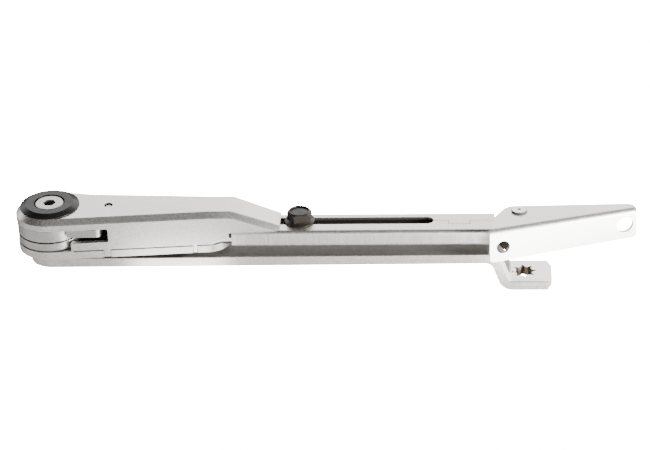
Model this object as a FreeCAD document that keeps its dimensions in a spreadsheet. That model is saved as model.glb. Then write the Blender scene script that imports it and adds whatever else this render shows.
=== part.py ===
import FreeCAD, Part
import math
import os

import Sketcher

# Door closer hold-open arm, folded. Lengths in millimetres, angles in degrees.
# Every sub-part is drawn from the elbow axis and the main arm's underside, along X to the
# right, and is then placed so that the frame's origin is the spindle socket's centre on the
# underside of the tab.

SIZES = {
    # play between faces that slide, and radial gap of a fit
    "play": 0.15, "fit_gap": 0.05,
    # main arm: flat bar, cranked down to a tab with the spindle socket
    "arm_reach": 283.5, "bar_width": 25, "bar_thick": 6, "tab_drop": 18.5, "bend_angle": 70,
    "bend_inner": 5, "foot_inner": 3, "foot_back": 13.1, "tab_end": 16.6, "tab_cut_along": 2.6,
    "tab_cut_side": 6, "bar_eye": 14, "socket_half": 4.5, "socket_turn": 6,
    # elbow stack
    "pin_radius": 6, "flat_half": 4.6, "spacer_thick": 2.95, "spacer_radius": 11,
    "plate_thick": 5, "washer_thick": 0.65, "washer_radius": 12, "disc_radius": 20.2,
    "index_thick": 4.8, "disc_gap": 0.9, "cam_thick": 7.2, "notch_depth": 1.2, "notch_angle": 95,
    "bush_wall": 1.5, "bush_flange": 1, "hub_radius": 10.5, "hub_depth": 1.6, "spring_wall": 1.1,
    "ring_radius": 17.8, "ring_height": 2.1, "ring_top_radius": 14.2, "ring_edge": 0.5,
    "head_radius": 8.45, "head_height": 3.3, "head_gap": 0.7, "head_low": 0.3, "head_edge": 0.4,
    "hex_flats": 6.7, "hex_depth": 3, "thread_radius": 4, "thread_length": 17,
    # elbow housing
    "elbow_radius": 20.5, "tail_centre": 95, "tail_half": 12.3, "tail_back": 13, "waist_along": 24,
    "waist_half": 16.6, "skirt_gap": 0.2, "skirt_height": 7, "roof_thick": 3, "side_wall": 3,
    "bevel": 3.2, "ramp_start": 110, "tip_along": 138.2, "tip_half": 10.4, "tip_back": 11.9,
    "tip_height": 2.05,
    "cavity_end": 88, "wall_start": 14.1, "window_end": 36.4, "window_height": 8.6,
    "window_corner": 1, "arch_start": 98.2, "arch_rise": 5.1, "arch_knee": 107.5,
    "lug_a": 35.4, "lug_a_width": 4, "lug_b": 87.6, "lug_b_width": 2.4, "lug_depth": 1.8,
    "lug_short": 0.3,
    "tongue_length": 16.5,
    # detent inside the housing
    "slider_height": 4.9, "slider_back": 32.5, "slider_front": 18.2, "slider_far": 12.4,
    "slider_round": 7, "slider_left": 11.5, "disc_clear": 1.5, "nose_gap": 0.25,
    "nose_half": 2.2, "guide_along": 35.5, "guide_radius": 2.5, "guide_sunk": 0.8,
    "guide_bevel": 0.9, "detent_travel": 1.3,
    "tongue_half": 4.3, "tongue_end": 42.5, "block_start": 46, "block_length": 14,
    "coil_radius": 2, "coil_wire": 0.4,
    "coil_play": 0.3, "coil_turns": 9, "coil_side": 6.5, "pocket_depth": 2.5, "coil_length": 20,
    "screw_radius": 2, "screw_head": 3.8, "screw_depth": 8, "screw_a": 53, "screw_side": 5.5,
    "screw_b": 97,
    # rail: folded sheet box with a slot and an interlocked seam on top
    "rail_start": 109.5, "rail_end": 266, "rail_half": 11.4, "rail_low": 11.7,
    "rail_height": 10.3, "sheet": 1.8, "rail_round": 2.4, "slot_line": 1.7, "slot_half": 4,
    "slot_start": 138, "slot_end": 225.6, "seam_line": 1.2, "seam_gap": 0.35,
    "tooth_start": 238.5, "tooth_end": 251, "tooth_depth": 3.9,
    "rivet_radius": 2.5, "rivet_head": 4.5, "rivet_height": 1.5, "rivet_a": 114.5,
    "rivet_pitch": 8,
    # push rod, lock bolt and frame bracket
    "bolt_along": 149.6, "rod_half": 6, "rod_gap": 1.2, "rod_start": 140, "pivot_along": 280.5,
    "eye_radius": 8.5, "eye_height": 10.95, "eye_bush": 5, "pivot_radius": 3.5,
    "hex_bolt_flats": 13, "bolt_flange": 9, "bolt_flange_thick": 1.2, "bolt_height": 7.4,
    "bolt_dish": 0.9, "bolt_dish_radius": 5.6, "bolt_turn": 6, "pivot_washer": 0.6, "bracket_sheet": 2.5,
    "bracket_turn": 16.6, "fold_line": 18.7, "fold_round": 3.3, "bracket_left": 24,
    "bracket_right": 67.2, "back_left": 2.9, "back_side": 8, "back_right": 64.6,
    "back_far": 10.7, "cheek_along": 14.5, "cheek_side": 3, "flange_left": 21.2,
    "flange_right": 18.8, "bracket_corner": 2.5, "back_corner": 4,
    "hole_a_along": 15.8, "hole_a_radius": 4.1,
    "hole_a_down": 11.8, "hole_b_along": 59.9, "hole_b_radius": 5.0, "hole_b_down": 9.6,
    "pivot_head": 4.7, "pivot_head_height": 1.2, "pivot_foot": 5.7, "pivot_foot_height": 2,
    "washer_wide": 7.2,
}

# levels above the main arm's underside, from the bottom of the stack upwards
PLATE_LOW = "(dim.bar_thick + dim.spacer_thick + dim.play)"
PLATE_TOP = f"({PLATE_LOW} + dim.plate_thick)"
INDEX_LOW = f"({PLATE_TOP} + dim.play + dim.washer_thick)"
INDEX_TOP = f"({INDEX_LOW} + dim.index_thick)"
CAM_LOW = f"({INDEX_TOP} + dim.disc_gap)"
CAM_TOP = f"({CAM_LOW} + dim.cam_thick)"
SKIRT_LOW = f"({CAM_TOP} + dim.skirt_gap)"
ROOF_TOP = f"({SKIRT_LOW} + dim.skirt_height)"
ROOF_LOW = f"({ROOF_TOP} - dim.roof_thick)"
RING_LOW = f"({ROOF_TOP} + dim.play)"
RING_TOP = f"({RING_LOW} + dim.ring_height)"
SEAT = f"({RING_TOP} - dim.head_low - dim.head_height)"
PIN_TOP = f"({CAM_TOP} + dim.hub_depth)"
WALL_LOW = f"({PLATE_TOP} + dim.play)"
SLIDER_LOW = f"({CAM_TOP} - dim.slider_height)"
RAIL_TOP = "(dim.rail_low + dim.rail_height)"
ROD_LOW = "(dim.rail_low + dim.sheet + dim.play)"
ROD_TOP = f"({RAIL_TOP} - dim.sheet - dim.rod_gap)"
EYE_TOP = f"({ROD_LOW} + dim.eye_height)"
SHEET_LOW = f"({EYE_TOP} + dim.pivot_washer + dim.play)"
SHEET_TOP = f"({SHEET_LOW} + dim.bracket_sheet)"
BAR_HALF = "(dim.bar_width / 2)"
FOOT = "(dim.arm_reach - dim.foot_back)"
KNEE = f"({FOOT} - dim.tab_drop / tan(dim.bend_angle))"
BUSH_RADIUS = "(dim.pin_radius + dim.fit_gap + dim.bush_wall)"
UPPER_BUSH = "(dim.hub_radius + dim.fit_gap + dim.bush_wall)"
# the upper bush's flange reaches half way from its barrel to the housing's wall
FLANGE = f"(({UPPER_BUSH} + dim.elbow_radius - dim.side_wall) / 2)"
FLANGE_LOW = f"({ROOF_LOW} - dim.bush_flange)"

# angle of the housing's flanks, which touch the elbow circle and the tail circle
TAPER = "asin((dim.elbow_radius - dim.tail_half) / dim.tail_centre)"

doc = FreeCAD.newDocument("hold_open_arm")
dim = doc.addObject("Spreadsheet::Sheet", "dim")
parts = {}


def fill_sheet():
    for row, (name, size) in enumerate(SIZES.items(), start=1):
        dim.set(f"A{row}", name)
        dim.set(f"B{row}", str(size))
        dim.setAlias(f"B{row}", name)
    doc.recompute()


def size(name):
    return float(getattr(dim, name))


def seat(thing, along="0", side="0", level="0"):
    """Place a sub-part from the elbow's own place into the part's frame."""
    thing.setExpression("Placement.Base.x", f"{along} - dim.arm_reach")
    thing.setExpression("Placement.Base.y", side)
    thing.setExpression("Placement.Base.z", f"{level} + dim.tab_drop")
    return thing


def keep(name, thing):
    """Register a finished sub-part under the name of its file."""
    thing.Label = name
    parts[name] = thing
    return thing


# Sketch and feature helpers

def new_body(name):
    return keep(name, seat(doc.addObject("PartDesign::Body", name)))


def sketch_on(body, role, height="0"):
    """An empty sketch on one of the body's origin planes, moved out along its normal."""
    plane = next(p for p in body.Origin.OriginFeatures if p.Role == role)
    sketch = body.newObject("Sketcher::SketchObject", body.Name + "_sketch")
    sketch.AttachmentSupport = [(plane, "")]
    sketch.MapMode = "FlatFace"
    sketch.setExpression("AttachmentOffset.Base.z", height)
    return sketch


def pin_point(sketch, line, end, start, corner):
    for kind, value, formula in zip(("DistanceX", "DistanceY"), (start.x, start.y), corner):
        index = sketch.addConstraint(Sketcher.Constraint(kind, -1, 1, line, end, value))
        sketch.setExpression(f"Constraints[{index}]", formula)


def loop(sketch, corners):
    """A closed outline of straight lines through corners given as pairs of formulas."""
    count = len(corners)
    first = sketch.GeometryCount
    turns = [2 * math.pi * k / count for k in range(count)]
    starts = [FreeCAD.Vector(10 * math.cos(a), 10 * math.sin(a), 0) for a in turns]
    for k in range(count):
        sketch.addGeometry(Part.LineSegment(starts[k], starts[(k + 1) % count]), False)
    for k in range(count):
        after = first + (k + 1) % count
        sketch.addConstraint(Sketcher.Constraint("Coincident", first + k, 2, after, 1))
    for k, corner in enumerate(corners):
        pin_point(sketch, first + k, 1, starts[k], corner)
    return sketch


def ring(sketch, radius, along="0", side="0"):
    """A circle of the given radius about a point given as formulas."""
    start = FreeCAD.Vector(1, 1, 0)
    circle = sketch.addGeometry(Part.Circle(start, FreeCAD.Vector(0, 0, 1), 5), False)
    index = sketch.addConstraint(Sketcher.Constraint("Radius", circle, 5))
    sketch.setExpression(f"Constraints[{index}]", radius)
    pin_point(sketch, circle, 3, start, (along, side))
    return sketch


def pad(body, sketch, length, both=False, back=False):
    feature = body.newObject("PartDesign::Pad", body.Name + "_pad")
    feature.Profile = sketch
    feature.Midplane = both
    feature.Reversed = back
    feature.setExpression("Length", length)
    doc.recompute()
    return feature


def pocket(body, sketch, length, both=False, back=False):
    """Cut the outline out of the body; a cut that takes nothing away is an error."""
    before = body.Shape.Volume
    feature = body.newObject("PartDesign::Pocket", body.Name + "_pocket")
    feature.Profile = sketch
    feature.Midplane = both
    feature.Reversed = back
    feature.setExpression("Length", length)
    doc.recompute()
    if body.Shape.Volume > before - 1e-3:
        raise RuntimeError(f"{feature.Name} cuts nothing")
    return feature


def edges_where(shape, test):
    return [f"Edge{k}" for k, edge in enumerate(shape.Edges, start=1) if test(edge)]


def ends(edge):
    return edge.Vertexes[0].Point, edge.Vertexes[-1].Point


def runs_along(edge, axis):
    """True for a straight edge along X, Y or Z (axis 0, 1 or 2)."""
    if edge.Curve.TypeId != "Part::GeomLine":
        return False
    a, b = ends(edge)
    span = [abs(a[k] - b[k]) for k in range(3)]
    return span[axis] > 0.01 and sum(span) - span[axis] < 1e-4


def dress(body, kind, amount, test):
    """Round or bevel the edges of the finished shape that pass the test."""
    whole = body.Tip
    names = edges_where(whole.Shape, test)
    if not names:
        raise RuntimeError(f"{body.Label} has no edge to dress")
    feature = body.newObject("PartDesign::" + kind, body.Name + "_" + kind.lower())
    feature.Base = (whole, names)
    feature.setExpression("Radius" if kind == "Fillet" else "Size", amount)
    body.Tip = feature
    doc.recompute()
    return feature


def turned(name, corners, along="0", side="0"):
    """A turned piece: a half section of radius and height formulas, turned about its axis."""
    body = new_body(name)
    seat(body, along, side)
    sketch = loop(sketch_on(body, "XZ_Plane"), corners)
    feature = body.newObject("PartDesign::Revolution", name + "_turn")
    feature.Profile = sketch
    feature.ReferenceAxis = (sketch, ["V_Axis"])
    feature.Angle = 360
    doc.recompute()
    return body


def washer(name, inner, outer, low, high, along="0", side="0"):
    return turned(name, [(inner, low), (outer, low), (outer, high), (inner, high)], along, side)


def hexagon(sketch, flats, turn="0"):
    across = f"{flats} / sqrt(3)"
    angles = [f"({turn} + {60 * k})" for k in range(6)]
    return loop(sketch, [(f"{across} * cos({a})", f"{across} * sin({a})") for a in angles])


def square(sketch, half, turn, along):
    corners = []
    for k in range(4):
        angle = f"{turn} + {45 + 90 * k}"
        corners.append((f"{along} + {half} * sqrt(2) * cos({angle})",
                        f"{half} * sqrt(2) * sin({angle})"))
    return loop(sketch, corners)


# Main arm

def bar_outline():
    """Plan of the bar, which narrows from its eye to the crank; the tab's corners are cut."""
    angle = f"asin((dim.bar_eye - {BAR_HALF}) / {KNEE})"
    side = f"({BAR_HALF} * cos({angle}))"
    end = "(dim.arm_reach + dim.tab_end)"
    back = [(f"dim.bar_eye * sin({angle})", f"dim.bar_eye * cos({angle})"),
            (f"{KNEE} + {BAR_HALF} * sin({angle})", side),
            (f"{end} - dim.tab_cut_along", side), (end, f"{side} - dim.tab_cut_side")]
    front = [(x, f"-({y})") for x, y in reversed(back)]
    return back + front


def main_arm_bar():
    body = new_body("main_arm_bar")
    low, high = "-dim.tab_drop", "dim.bar_thick"
    shift = "dim.bar_thick * tan(dim.bend_angle / 2)"
    tall = "dim.bar_thick + dim.tab_drop"
    pad(body, loop(sketch_on(body, "XY_Plane", low), bar_outline()), tall)
    pad(body, ring(sketch_on(body, "XY_Plane", low), "dim.bar_eye"), tall)
    left, right = "-2 * dim.bar_eye", "dim.arm_reach + 2 * dim.tab_end"
    under = [(left, "0"), (KNEE, "0"), (FOOT, low), (FOOT, f"2 * ({low})"), (left, f"2 * ({low})")]
    over = [(f"{KNEE} + {shift}", high), (f"{FOOT} + {shift}", f"{high} - dim.tab_drop"),
            (right, f"{high} - dim.tab_drop"), (right, f"2 * {high}"),
            (f"{KNEE} + {shift}", f"2 * {high}")]
    for waste in (under, over):
        pocket(body, loop(sketch_on(body, "XZ_Plane"), waste), "4 * dim.bar_eye", both=True)
    bend_the_bar(body)
    pocket(body, ring(sketch_on(body, "XY_Plane"), "dim.pin_radius + dim.fit_gap"),
           "dim.bar_thick", back=True)
    for turn in ("dim.socket_turn", "dim.socket_turn + 45"):
        spindle = sketch_on(body, "XY_Plane", low)
        pocket(body, square(spindle, "dim.socket_half", turn, "dim.arm_reach"),
               "dim.bar_thick", back=True)


def bend_the_bar(body):
    """Round the crank's four bends, concentric across the bar's thickness."""
    thick, drop, reach = size("bar_thick"), size("tab_drop"), size("arm_reach")
    bends = [(0, "dim.bend_inner"), (thick, "dim.bend_inner + dim.bar_thick"),
             (thick - drop, "dim.foot_inner"), (-drop, "dim.foot_inner + dim.bar_thick")]
    for level, radius in bends:
        def is_bend(edge, level=level):
            x, z = edge.Vertexes[0].X, edge.Vertexes[0].Z
            inside = 1 < x < reach + size("tab_end") - 1
            return runs_along(edge, 1) and inside and abs(z - level) < 0.01
        dress(body, "Fillet", radius, is_bend)


def elbow_pin():
    """Stepped pin, flush under the bar, with two flats that carry the discs."""
    body = turned("elbow_pin", [
        ("0", "0"), ("dim.pin_radius", "0"), ("dim.pin_radius", PIN_TOP), ("0", PIN_TOP)])
    flats = sketch_on(body, "XY_Plane", PLATE_TOP)
    for sign in ("", "-"):
        edge, out = f"{sign}dim.flat_half", f"{sign}2 * dim.pin_radius"
        loop(flats, [("-2 * dim.pin_radius", edge), ("2 * dim.pin_radius", edge),
                     ("2 * dim.pin_radius", out), ("-2 * dim.pin_radius", out)])
    pocket(body, flats, "50", back=True)
    bore = ring(sketch_on(body, "XY_Plane", PIN_TOP), "dim.thread_radius + dim.fit_gap")
    pocket(body, bore, f"{PIN_TOP} - {SEAT} + dim.thread_length + 1")


def cylinder(name, radius, height, level, along="0", side="0"):
    part = doc.addObject("Part::Cylinder", name)
    part.setExpression("Radius", radius)
    part.setExpression("Height", height)
    return seat(part, along, side, level)


def flats_tool(name, low, height):
    """Bore with two flats that fits the elbow pin, over a disc's whole height."""
    round_hole = cylinder(name + "_round", "dim.pin_radius + dim.fit_gap", height, low)
    band = doc.addObject("Part::Box", name + "_band")
    band.setExpression("Length", "4 * dim.pin_radius")
    band.setExpression("Width", "2 * (dim.flat_half + dim.fit_gap)")
    band.setExpression("Height", height)
    seat(band, "-2 * dim.pin_radius", "-(dim.flat_half + dim.fit_gap)", low)
    return join("Part::Common", name + "_bore", round_hole, band)


def join(kind, name, base, tool):
    result = doc.addObject(kind, name)
    result.Base = base
    result.Tool = tool
    return result


def index_disc():
    disc = cylinder("index_blank", "dim.disc_radius", "dim.index_thick", INDEX_LOW)
    keep("index_disc", join("Part::Cut", "index_disc", disc,
                            flats_tool("index", INDEX_LOW, "dim.index_thick")))


def cam_disc():
    """Cam disc with the notch that the detent drops into when the door is held open."""
    disc = cylinder("cam_blank", "dim.disc_radius", "dim.cam_thick", CAM_LOW)
    bored = join("Part::Cut", "cam_bored", disc, flats_tool("cam", CAM_LOW, "dim.cam_thick"))
    notch = cylinder("cam_notch", "dim.nose_half", "dim.cam_thick", CAM_LOW)
    centre = "(dim.disc_radius - dim.notch_depth + dim.nose_half)"
    seat(notch, f"{centre} * cos(dim.notch_angle)", f"{centre} * sin(dim.notch_angle)", CAM_LOW)
    keep("cam_disc", join("Part::Cut", "cam_disc", bored, notch))


def elbow_washers():
    bore = "dim.pin_radius + dim.fit_gap"
    washer("lower_spacer", bore, "dim.spacer_radius", "dim.bar_thick",
           "dim.bar_thick + dim.spacer_thick")
    washer("lower_disc_washer", bore, "dim.washer_radius", f"{PLATE_TOP} + dim.play", INDEX_LOW)
    washer("upper_disc_washer", bore, "dim.washer_radius", INDEX_TOP, CAM_LOW)


def disc_spring():
    """Conical spring washer round the ring's hub, between the cam disc and the upper bush."""
    inner = "dim.hub_radius + dim.fit_gap"
    top = f"({FLANGE_LOW} - dim.play)"
    turned("disc_spring", [(FLANGE, CAM_TOP), (FLANGE, f"{CAM_TOP} + dim.spring_wall"),
                           (inner, top), (inner, f"{top} - dim.spring_wall")])


def clamp_ring():
    """Bevelled ring whose hub reaches down to the cam disc and clamps it to the pin."""
    recess = "dim.head_radius + dim.head_gap"
    pin, screw = "dim.pin_radius + dim.fit_gap", "dim.thread_radius + 4 * dim.fit_gap"
    turned("clamp_ring", [
        (pin, CAM_TOP), ("dim.hub_radius", CAM_TOP), ("dim.hub_radius", RING_LOW),
        ("dim.ring_radius", RING_LOW), ("dim.ring_radius", f"{RING_LOW} + dim.ring_edge"),
        ("dim.ring_top_radius", RING_TOP), (recess, RING_TOP), (recess, SEAT), (screw, SEAT),
        (screw, f"{PIN_TOP} + dim.play"), (pin, f"{PIN_TOP} + dim.play")])


def clamp_screw():
    top = f"({SEAT} + dim.head_height)"
    body = turned("clamp_screw", [
        ("0", f"{SEAT} - dim.thread_length"), ("dim.thread_radius", f"{SEAT} - dim.thread_length"),
        ("dim.thread_radius", SEAT), ("dim.head_radius", SEAT),
        ("dim.head_radius", f"{top} - dim.head_edge"),
        ("dim.head_radius - dim.head_edge", top), ("0", top)])
    pocket(body, hexagon(sketch_on(body, "XY_Plane", top), "dim.hex_flats"), "dim.hex_depth")


# Elbow housing and lower plate

def flank(along, inset="0"):
    """Distance of the front flank from the centre line, at a place along the housing."""
    radius = f"(dim.elbow_radius - {inset})"
    return f"({radius} * cos({TAPER}) - ({along} - {radius} * sin({TAPER})) * tan({TAPER}))"


def touch_point(radius, centre, sign):
    """Where the flank touches the circle of the elbow or of the tail."""
    return (f"{centre} + {radius} * sin({TAPER})", f"{sign}({radius} * cos({TAPER}))")


def housing_outline(inset):
    """Plan of the front and the back flank, which has a waist, without the elbow circle."""
    radius = f"(dim.elbow_radius - {inset})"
    waist = f"(dim.waist_half - {inset})"
    reach = f"sqrt(dim.waist_along ^ 2 + {waist} ^ 2)"
    angle = f"(atan({waist} / dim.waist_along) + acos({radius} / {reach}))"
    front = [touch_point(radius, "0", "-"),
             touch_point(f"(dim.tail_half - {inset})", "dim.tail_centre", "-")]
    back = [("dim.tail_centre", f"dim.tail_back - {inset}"), ("dim.waist_along", waist),
            (f"{radius} * cos({angle})", f"{radius} * sin({angle})")]
    return front, back


def housing_shell(body):
    height = f"{ROOF_TOP} - {WALL_LOW}"
    front, back = housing_outline("0")
    tip = [("dim.ramp_start", "-dim.tail_half"), ("dim.tip_along", "-dim.tip_half"),
           ("dim.tip_along", "dim.tip_back"), ("dim.ramp_start", "dim.tail_back")]
    plan = front + tip + back
    pad(body, loop(sketch_on(body, "XY_Plane", WALL_LOW), plan), height)
    pad(body, ring(sketch_on(body, "XY_Plane", WALL_LOW), "dim.elbow_radius"), height)
    top = max(v.Z for v in body.Tip.Shape.Vertexes)
    dress(body, "Chamfer", "dim.bevel", lambda e: not runs_along(e, 1)
          and all(abs(v.Z - top) < 0.01 for v in e.Vertexes))
    housing_ramp(body)


def housing_ramp(body):
    """Slope the tail down to its tip, with the same bevel along both of its sides."""
    tip = f"({RAIL_TOP} + dim.tip_height)"
    beyond = "dim.tip_along + 10"
    slope = f"({ROOF_TOP} - {tip}) / (dim.tip_along - dim.ramp_start)"
    ramp = [("dim.ramp_start", ROOF_TOP), (beyond, f"{tip} - 10 * {slope}"),
            (beyond, f"{ROOF_TOP} + 5"), ("dim.ramp_start", f"{ROOF_TOP} + 5")]
    pocket(body, loop(sketch_on(body, "XZ_Plane"), ramp), "80", both=True)
    for sign, start, end in (("-", "dim.tail_half", "dim.tip_half"),
                             ("", "dim.tail_back", "dim.tip_back")):
        sections = []
        for along, half, level in (("dim.ramp_start", start, ROOF_TOP),
                                   ("dim.tip_along", end, tip)):
            outer, inner = f"{sign}({half} + 1)", f"{sign}({half} - dim.bevel - 1)"
            corners = [(outer, f"{level} - dim.bevel - 1"), (inner, f"{level} + 1"),
                       (outer, f"{level} + 1")]
            sections.append(loop(sketch_on(body, "YZ_Plane", along), corners))
        cut_between(body, sections)


def cut_between(body, sections):
    """Cut out the straight-sided solid that runs from one section to the other."""
    before = body.Shape.Volume
    cut = body.newObject("PartDesign::SubtractiveLoft", body.Name + "_slope")
    cut.Profile = sections[0]
    cut.Sections = sections[1:]
    cut.Ruled = True
    doc.recompute()
    if body.Shape.Volume > before - 1e-3:
        raise RuntimeError(f"{cut.Name} cuts nothing")


def housing_cavity(body):
    """Hollow from below, open round the discs, with the solid tail kept."""
    depth = f"{ROOF_LOW} - {WALL_LOW}"
    wall = "dim.side_wall"
    front, back = housing_outline(wall)
    plan = [front[0], ("dim.cavity_end", f"-{flank('dim.cavity_end', wall)}"),
            ("dim.cavity_end", "dim.tail_back - dim.side_wall")] + back[1:]
    pocket(body, loop(sketch_on(body, "XY_Plane", WALL_LOW), plan), depth, back=True)
    pocket(body, ring(sketch_on(body, "XY_Plane", WALL_LOW), f"dim.elbow_radius - {wall}"),
           depth, back=True)
    left = "-2 * dim.elbow_radius"
    relief = [(left, f"{WALL_LOW} - 5"), ("dim.wall_start", f"{WALL_LOW} - 5"),
              ("dim.wall_start", SKIRT_LOW), (left, SKIRT_LOW)]
    pocket(body, loop(sketch_on(body, "XZ_Plane"), relief), "80", both=True)


def housing_window(body):
    """Window in the front wall that shows the detent slider."""
    low = f"{SKIRT_LOW} - dim.window_height"
    opening = [("dim.wall_start - 5", low), ("dim.window_end", low),
               ("dim.window_end", SKIRT_LOW), ("dim.wall_start - 5", SKIRT_LOW)]
    sketch = loop(sketch_on(body, "XZ_Plane", "dim.side_wall"), opening)
    pocket(body, sketch, "dim.elbow_radius", back=True)
    dress(body, "Fillet", "dim.window_corner", lambda e: runs_along(e, 1)
          and e.Vertexes[0].Y < 0 and abs(e.Vertexes[0].X - size("window_end")) < 0.01)


def housing_arch(body):
    """Lower edge of both walls, which climbs from the plate to the top of the rail."""
    low, over = f"{WALL_LOW}", f"{RAIL_TOP} + dim.play"
    knee = f"{WALL_LOW} + dim.arch_rise"
    arch = [("dim.arch_start", low), ("dim.arch_knee", knee), ("dim.rail_start", over),
            ("dim.tip_along + 5", over), ("dim.tip_along + 5", f"{low} - 5"),
            ("dim.arch_start", f"{low} - 5")]
    pocket(body, loop(sketch_on(body, "XZ_Plane"), arch), "80", both=True)


def lug_outline(lug, gap):
    """Plan of a lug let into the lower plate's front edge, with a gap all round."""
    left = f"(dim.{lug} - dim.{lug}_width / 2 - {gap})"
    right = f"(dim.{lug} + dim.{lug}_width / 2 + {gap})"
    depth = f"(dim.lug_depth + {gap})"
    return [(left, f"-{flank(left)}"), (right, f"-{flank(right)}"),
            (right, f"-{flank(right)} + {depth}"), (left, f"-{flank(left)} + {depth}")]


def elbow_housing():
    body = new_body("elbow_housing")
    housing_shell(body)
    housing_cavity(body)
    housing_window(body)
    housing_arch(body)
    for lug in ("lug_a", "lug_b"):
        outline = loop(sketch_on(body, "XY_Plane", WALL_LOW), lug_outline(lug, "0"))
        pad(body, outline, f"{WALL_LOW} - {PLATE_LOW} - dim.lug_short", back=True)
    bores = ring(sketch_on(body, "XY_Plane", ROOF_TOP), f"{UPPER_BUSH} + dim.fit_gap")
    ring(bores, "dim.guide_radius + dim.fit_gap", "dim.guide_along")
    pocket(body, bores, "dim.roof_thick + 1")
    screw = ring(sketch_on(body, "XY_Plane", WALL_LOW), "dim.screw_radius + dim.fit_gap",
                 "dim.screw_b")
    pocket(body, screw, "dim.screw_depth", back=True)


def screw_places():
    return [("dim.screw_a", "-dim.screw_side"), ("dim.screw_a", "dim.screw_side"),
            ("dim.screw_b", "0")]


def lower_plate():
    """Tapered link under the housing, with a nose and a tongue that carry the rail."""
    body = new_body("lower_plate")
    radius, tail = "dim.elbow_radius", "dim.tail_half"
    plan = [touch_point(radius, "0", "-"), touch_point(tail, "dim.tail_centre", "-"),
            touch_point(tail, "dim.tail_centre", ""), touch_point(radius, "0", "")]
    pad(body, loop(sketch_on(body, "XY_Plane", PLATE_LOW), plan), "dim.plate_thick")
    for centre, reach in (("0", radius), ("dim.tail_centre", tail)):
        pad(body, ring(sketch_on(body, "XY_Plane", PLATE_LOW), reach, centre), "dim.plate_thick")
    plate_nose(body)
    holes = ring(sketch_on(body, "XY_Plane", PLATE_LOW), f"{BUSH_RADIUS} + dim.fit_gap")
    for along, side in screw_places():
        ring(holes, "dim.screw_radius + 0.1", along, side)
    pocket(body, holes, "dim.plate_thick + dim.arch_rise", back=True)
    for lug in ("lug_a", "lug_b"):
        notch = lug_outline(lug, "dim.play")
        notch[0] = (notch[0][0], f"{notch[0][1]} - 1")
        notch[1] = (notch[1][0], f"{notch[1][1]} - 1")
        pocket(body, loop(sketch_on(body, "XY_Plane", PLATE_LOW), notch), "dim.plate_thick",
               back=True)
    low = size("bar_thick") + size("spacer_thick") + size("play")
    hole = size("screw_radius") + 0.1
    dress(body, "Chamfer", "dim.screw_head - dim.screw_radius",
          lambda e: e.Curve.TypeId == "Part::GeomCircle" and abs(e.Curve.Radius - hole) < 1e-4
          and abs(e.Vertexes[0].Z - low) < 0.01)


def plate_nose(body):
    """Raised nose below the housing's arch, and the tongue that runs on into the rail."""
    top = f"({PLATE_TOP} + dim.arch_rise)"
    nose = ring(sketch_on(body, "XY_Plane", PLATE_TOP), "dim.tail_half", "dim.tail_centre")
    pad(body, nose, "dim.arch_rise")
    half = "(dim.rail_half - dim.sheet - dim.play)"
    start, end = "dim.tail_centre", "dim.rail_start + dim.tongue_length"
    tongue = [(start, f"-{half}"), (end, f"-{half}"), (end, half), (start, half)]
    pad(body, loop(sketch_on(body, "XY_Plane", ROD_LOW), tongue), f"{ROD_TOP} - {ROD_LOW}")
    left = "dim.tail_centre - 2 * dim.tail_half"
    under_arch = [(left, PLATE_TOP), ("dim.arch_start", PLATE_TOP), ("dim.arch_knee", top),
                  ("dim.rail_start", top), ("dim.rail_start", f"{top} + 5"), (left, f"{top} + 5")]
    pocket(body, loop(sketch_on(body, "XZ_Plane"), under_arch), "80", both=True)
    rivets = sketch_on(body, "XY_Plane", ROD_LOW)
    for k in range(2):
        ring(rivets, "dim.rivet_radius + dim.fit_gap", f"dim.rivet_a + {k} * dim.rivet_pitch")
    pocket(body, rivets, f"{ROD_TOP} - {ROD_LOW}", back=True)


def elbow_bushes():
    washer("lower_bush", "dim.pin_radius + dim.fit_gap", BUSH_RADIUS, PLATE_LOW, PLATE_TOP)
    inner = "dim.hub_radius + dim.fit_gap"
    turned("upper_bush", [(inner, FLANGE_LOW), (FLANGE, FLANGE_LOW), (FLANGE, ROOF_LOW),
                          (UPPER_BUSH, ROOF_LOW), (UPPER_BUSH, ROOF_TOP), (inner, ROOF_TOP)])


def guide_pin():
    """Pin through the roof that guides the slider's tongue, sunk a little in its hole."""
    low, top = PLATE_TOP, f"({ROOF_TOP} - dim.guide_sunk)"
    turned("guide_pin", [("0", low), ("dim.guide_radius", low),
                         ("dim.guide_radius", f"{top} - dim.guide_bevel"),
                         ("dim.guide_radius - dim.guide_bevel", top), ("0", top)], "dim.guide_along")


def screw_group(name, places, section):
    """Like fasteners, each a separate solid, in one sub-part."""
    group = []
    for k, (along, side) in enumerate(places):
        body = turned(f"{name}_{k}", section, along, side)
        group.append(parts.pop(f"{name}_{k}"))
        body.Label = f"{name}_{k}_solid"
    keep(name, doc.addObject("Part::Compound", name)).Links = group


def housing_screws():
    head = "(dim.screw_head - dim.screw_radius)"
    low = f"({PLATE_LOW} + 0.2)"
    section = [("0", low), (f"dim.screw_radius + {head} - 0.3", low),
               ("dim.screw_radius", f"{low} + {head} - 0.3"),
               ("dim.screw_radius", f"{WALL_LOW} + dim.screw_depth - 1"),
               ("0", f"{WALL_LOW} + dim.screw_depth - 1")]
    screw_group("housing_screws", screw_places(), section)


# Detent

def slider_outline():
    """Plan of the slider body: flat back, and a straight left side that is hollowed later."""
    front, far = "-dim.slider_front", "dim.slider_far"
    return [("dim.slider_left", front), ("dim.slider_back", front),
            ("dim.slider_back", "-dim.tongue_half"), ("dim.tongue_end", "-dim.tongue_half"),
            ("dim.tongue_end", "dim.tongue_half"), ("dim.slider_back", "dim.tongue_half"),
            ("dim.slider_back", far), ("dim.slider_left", far)]


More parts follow.
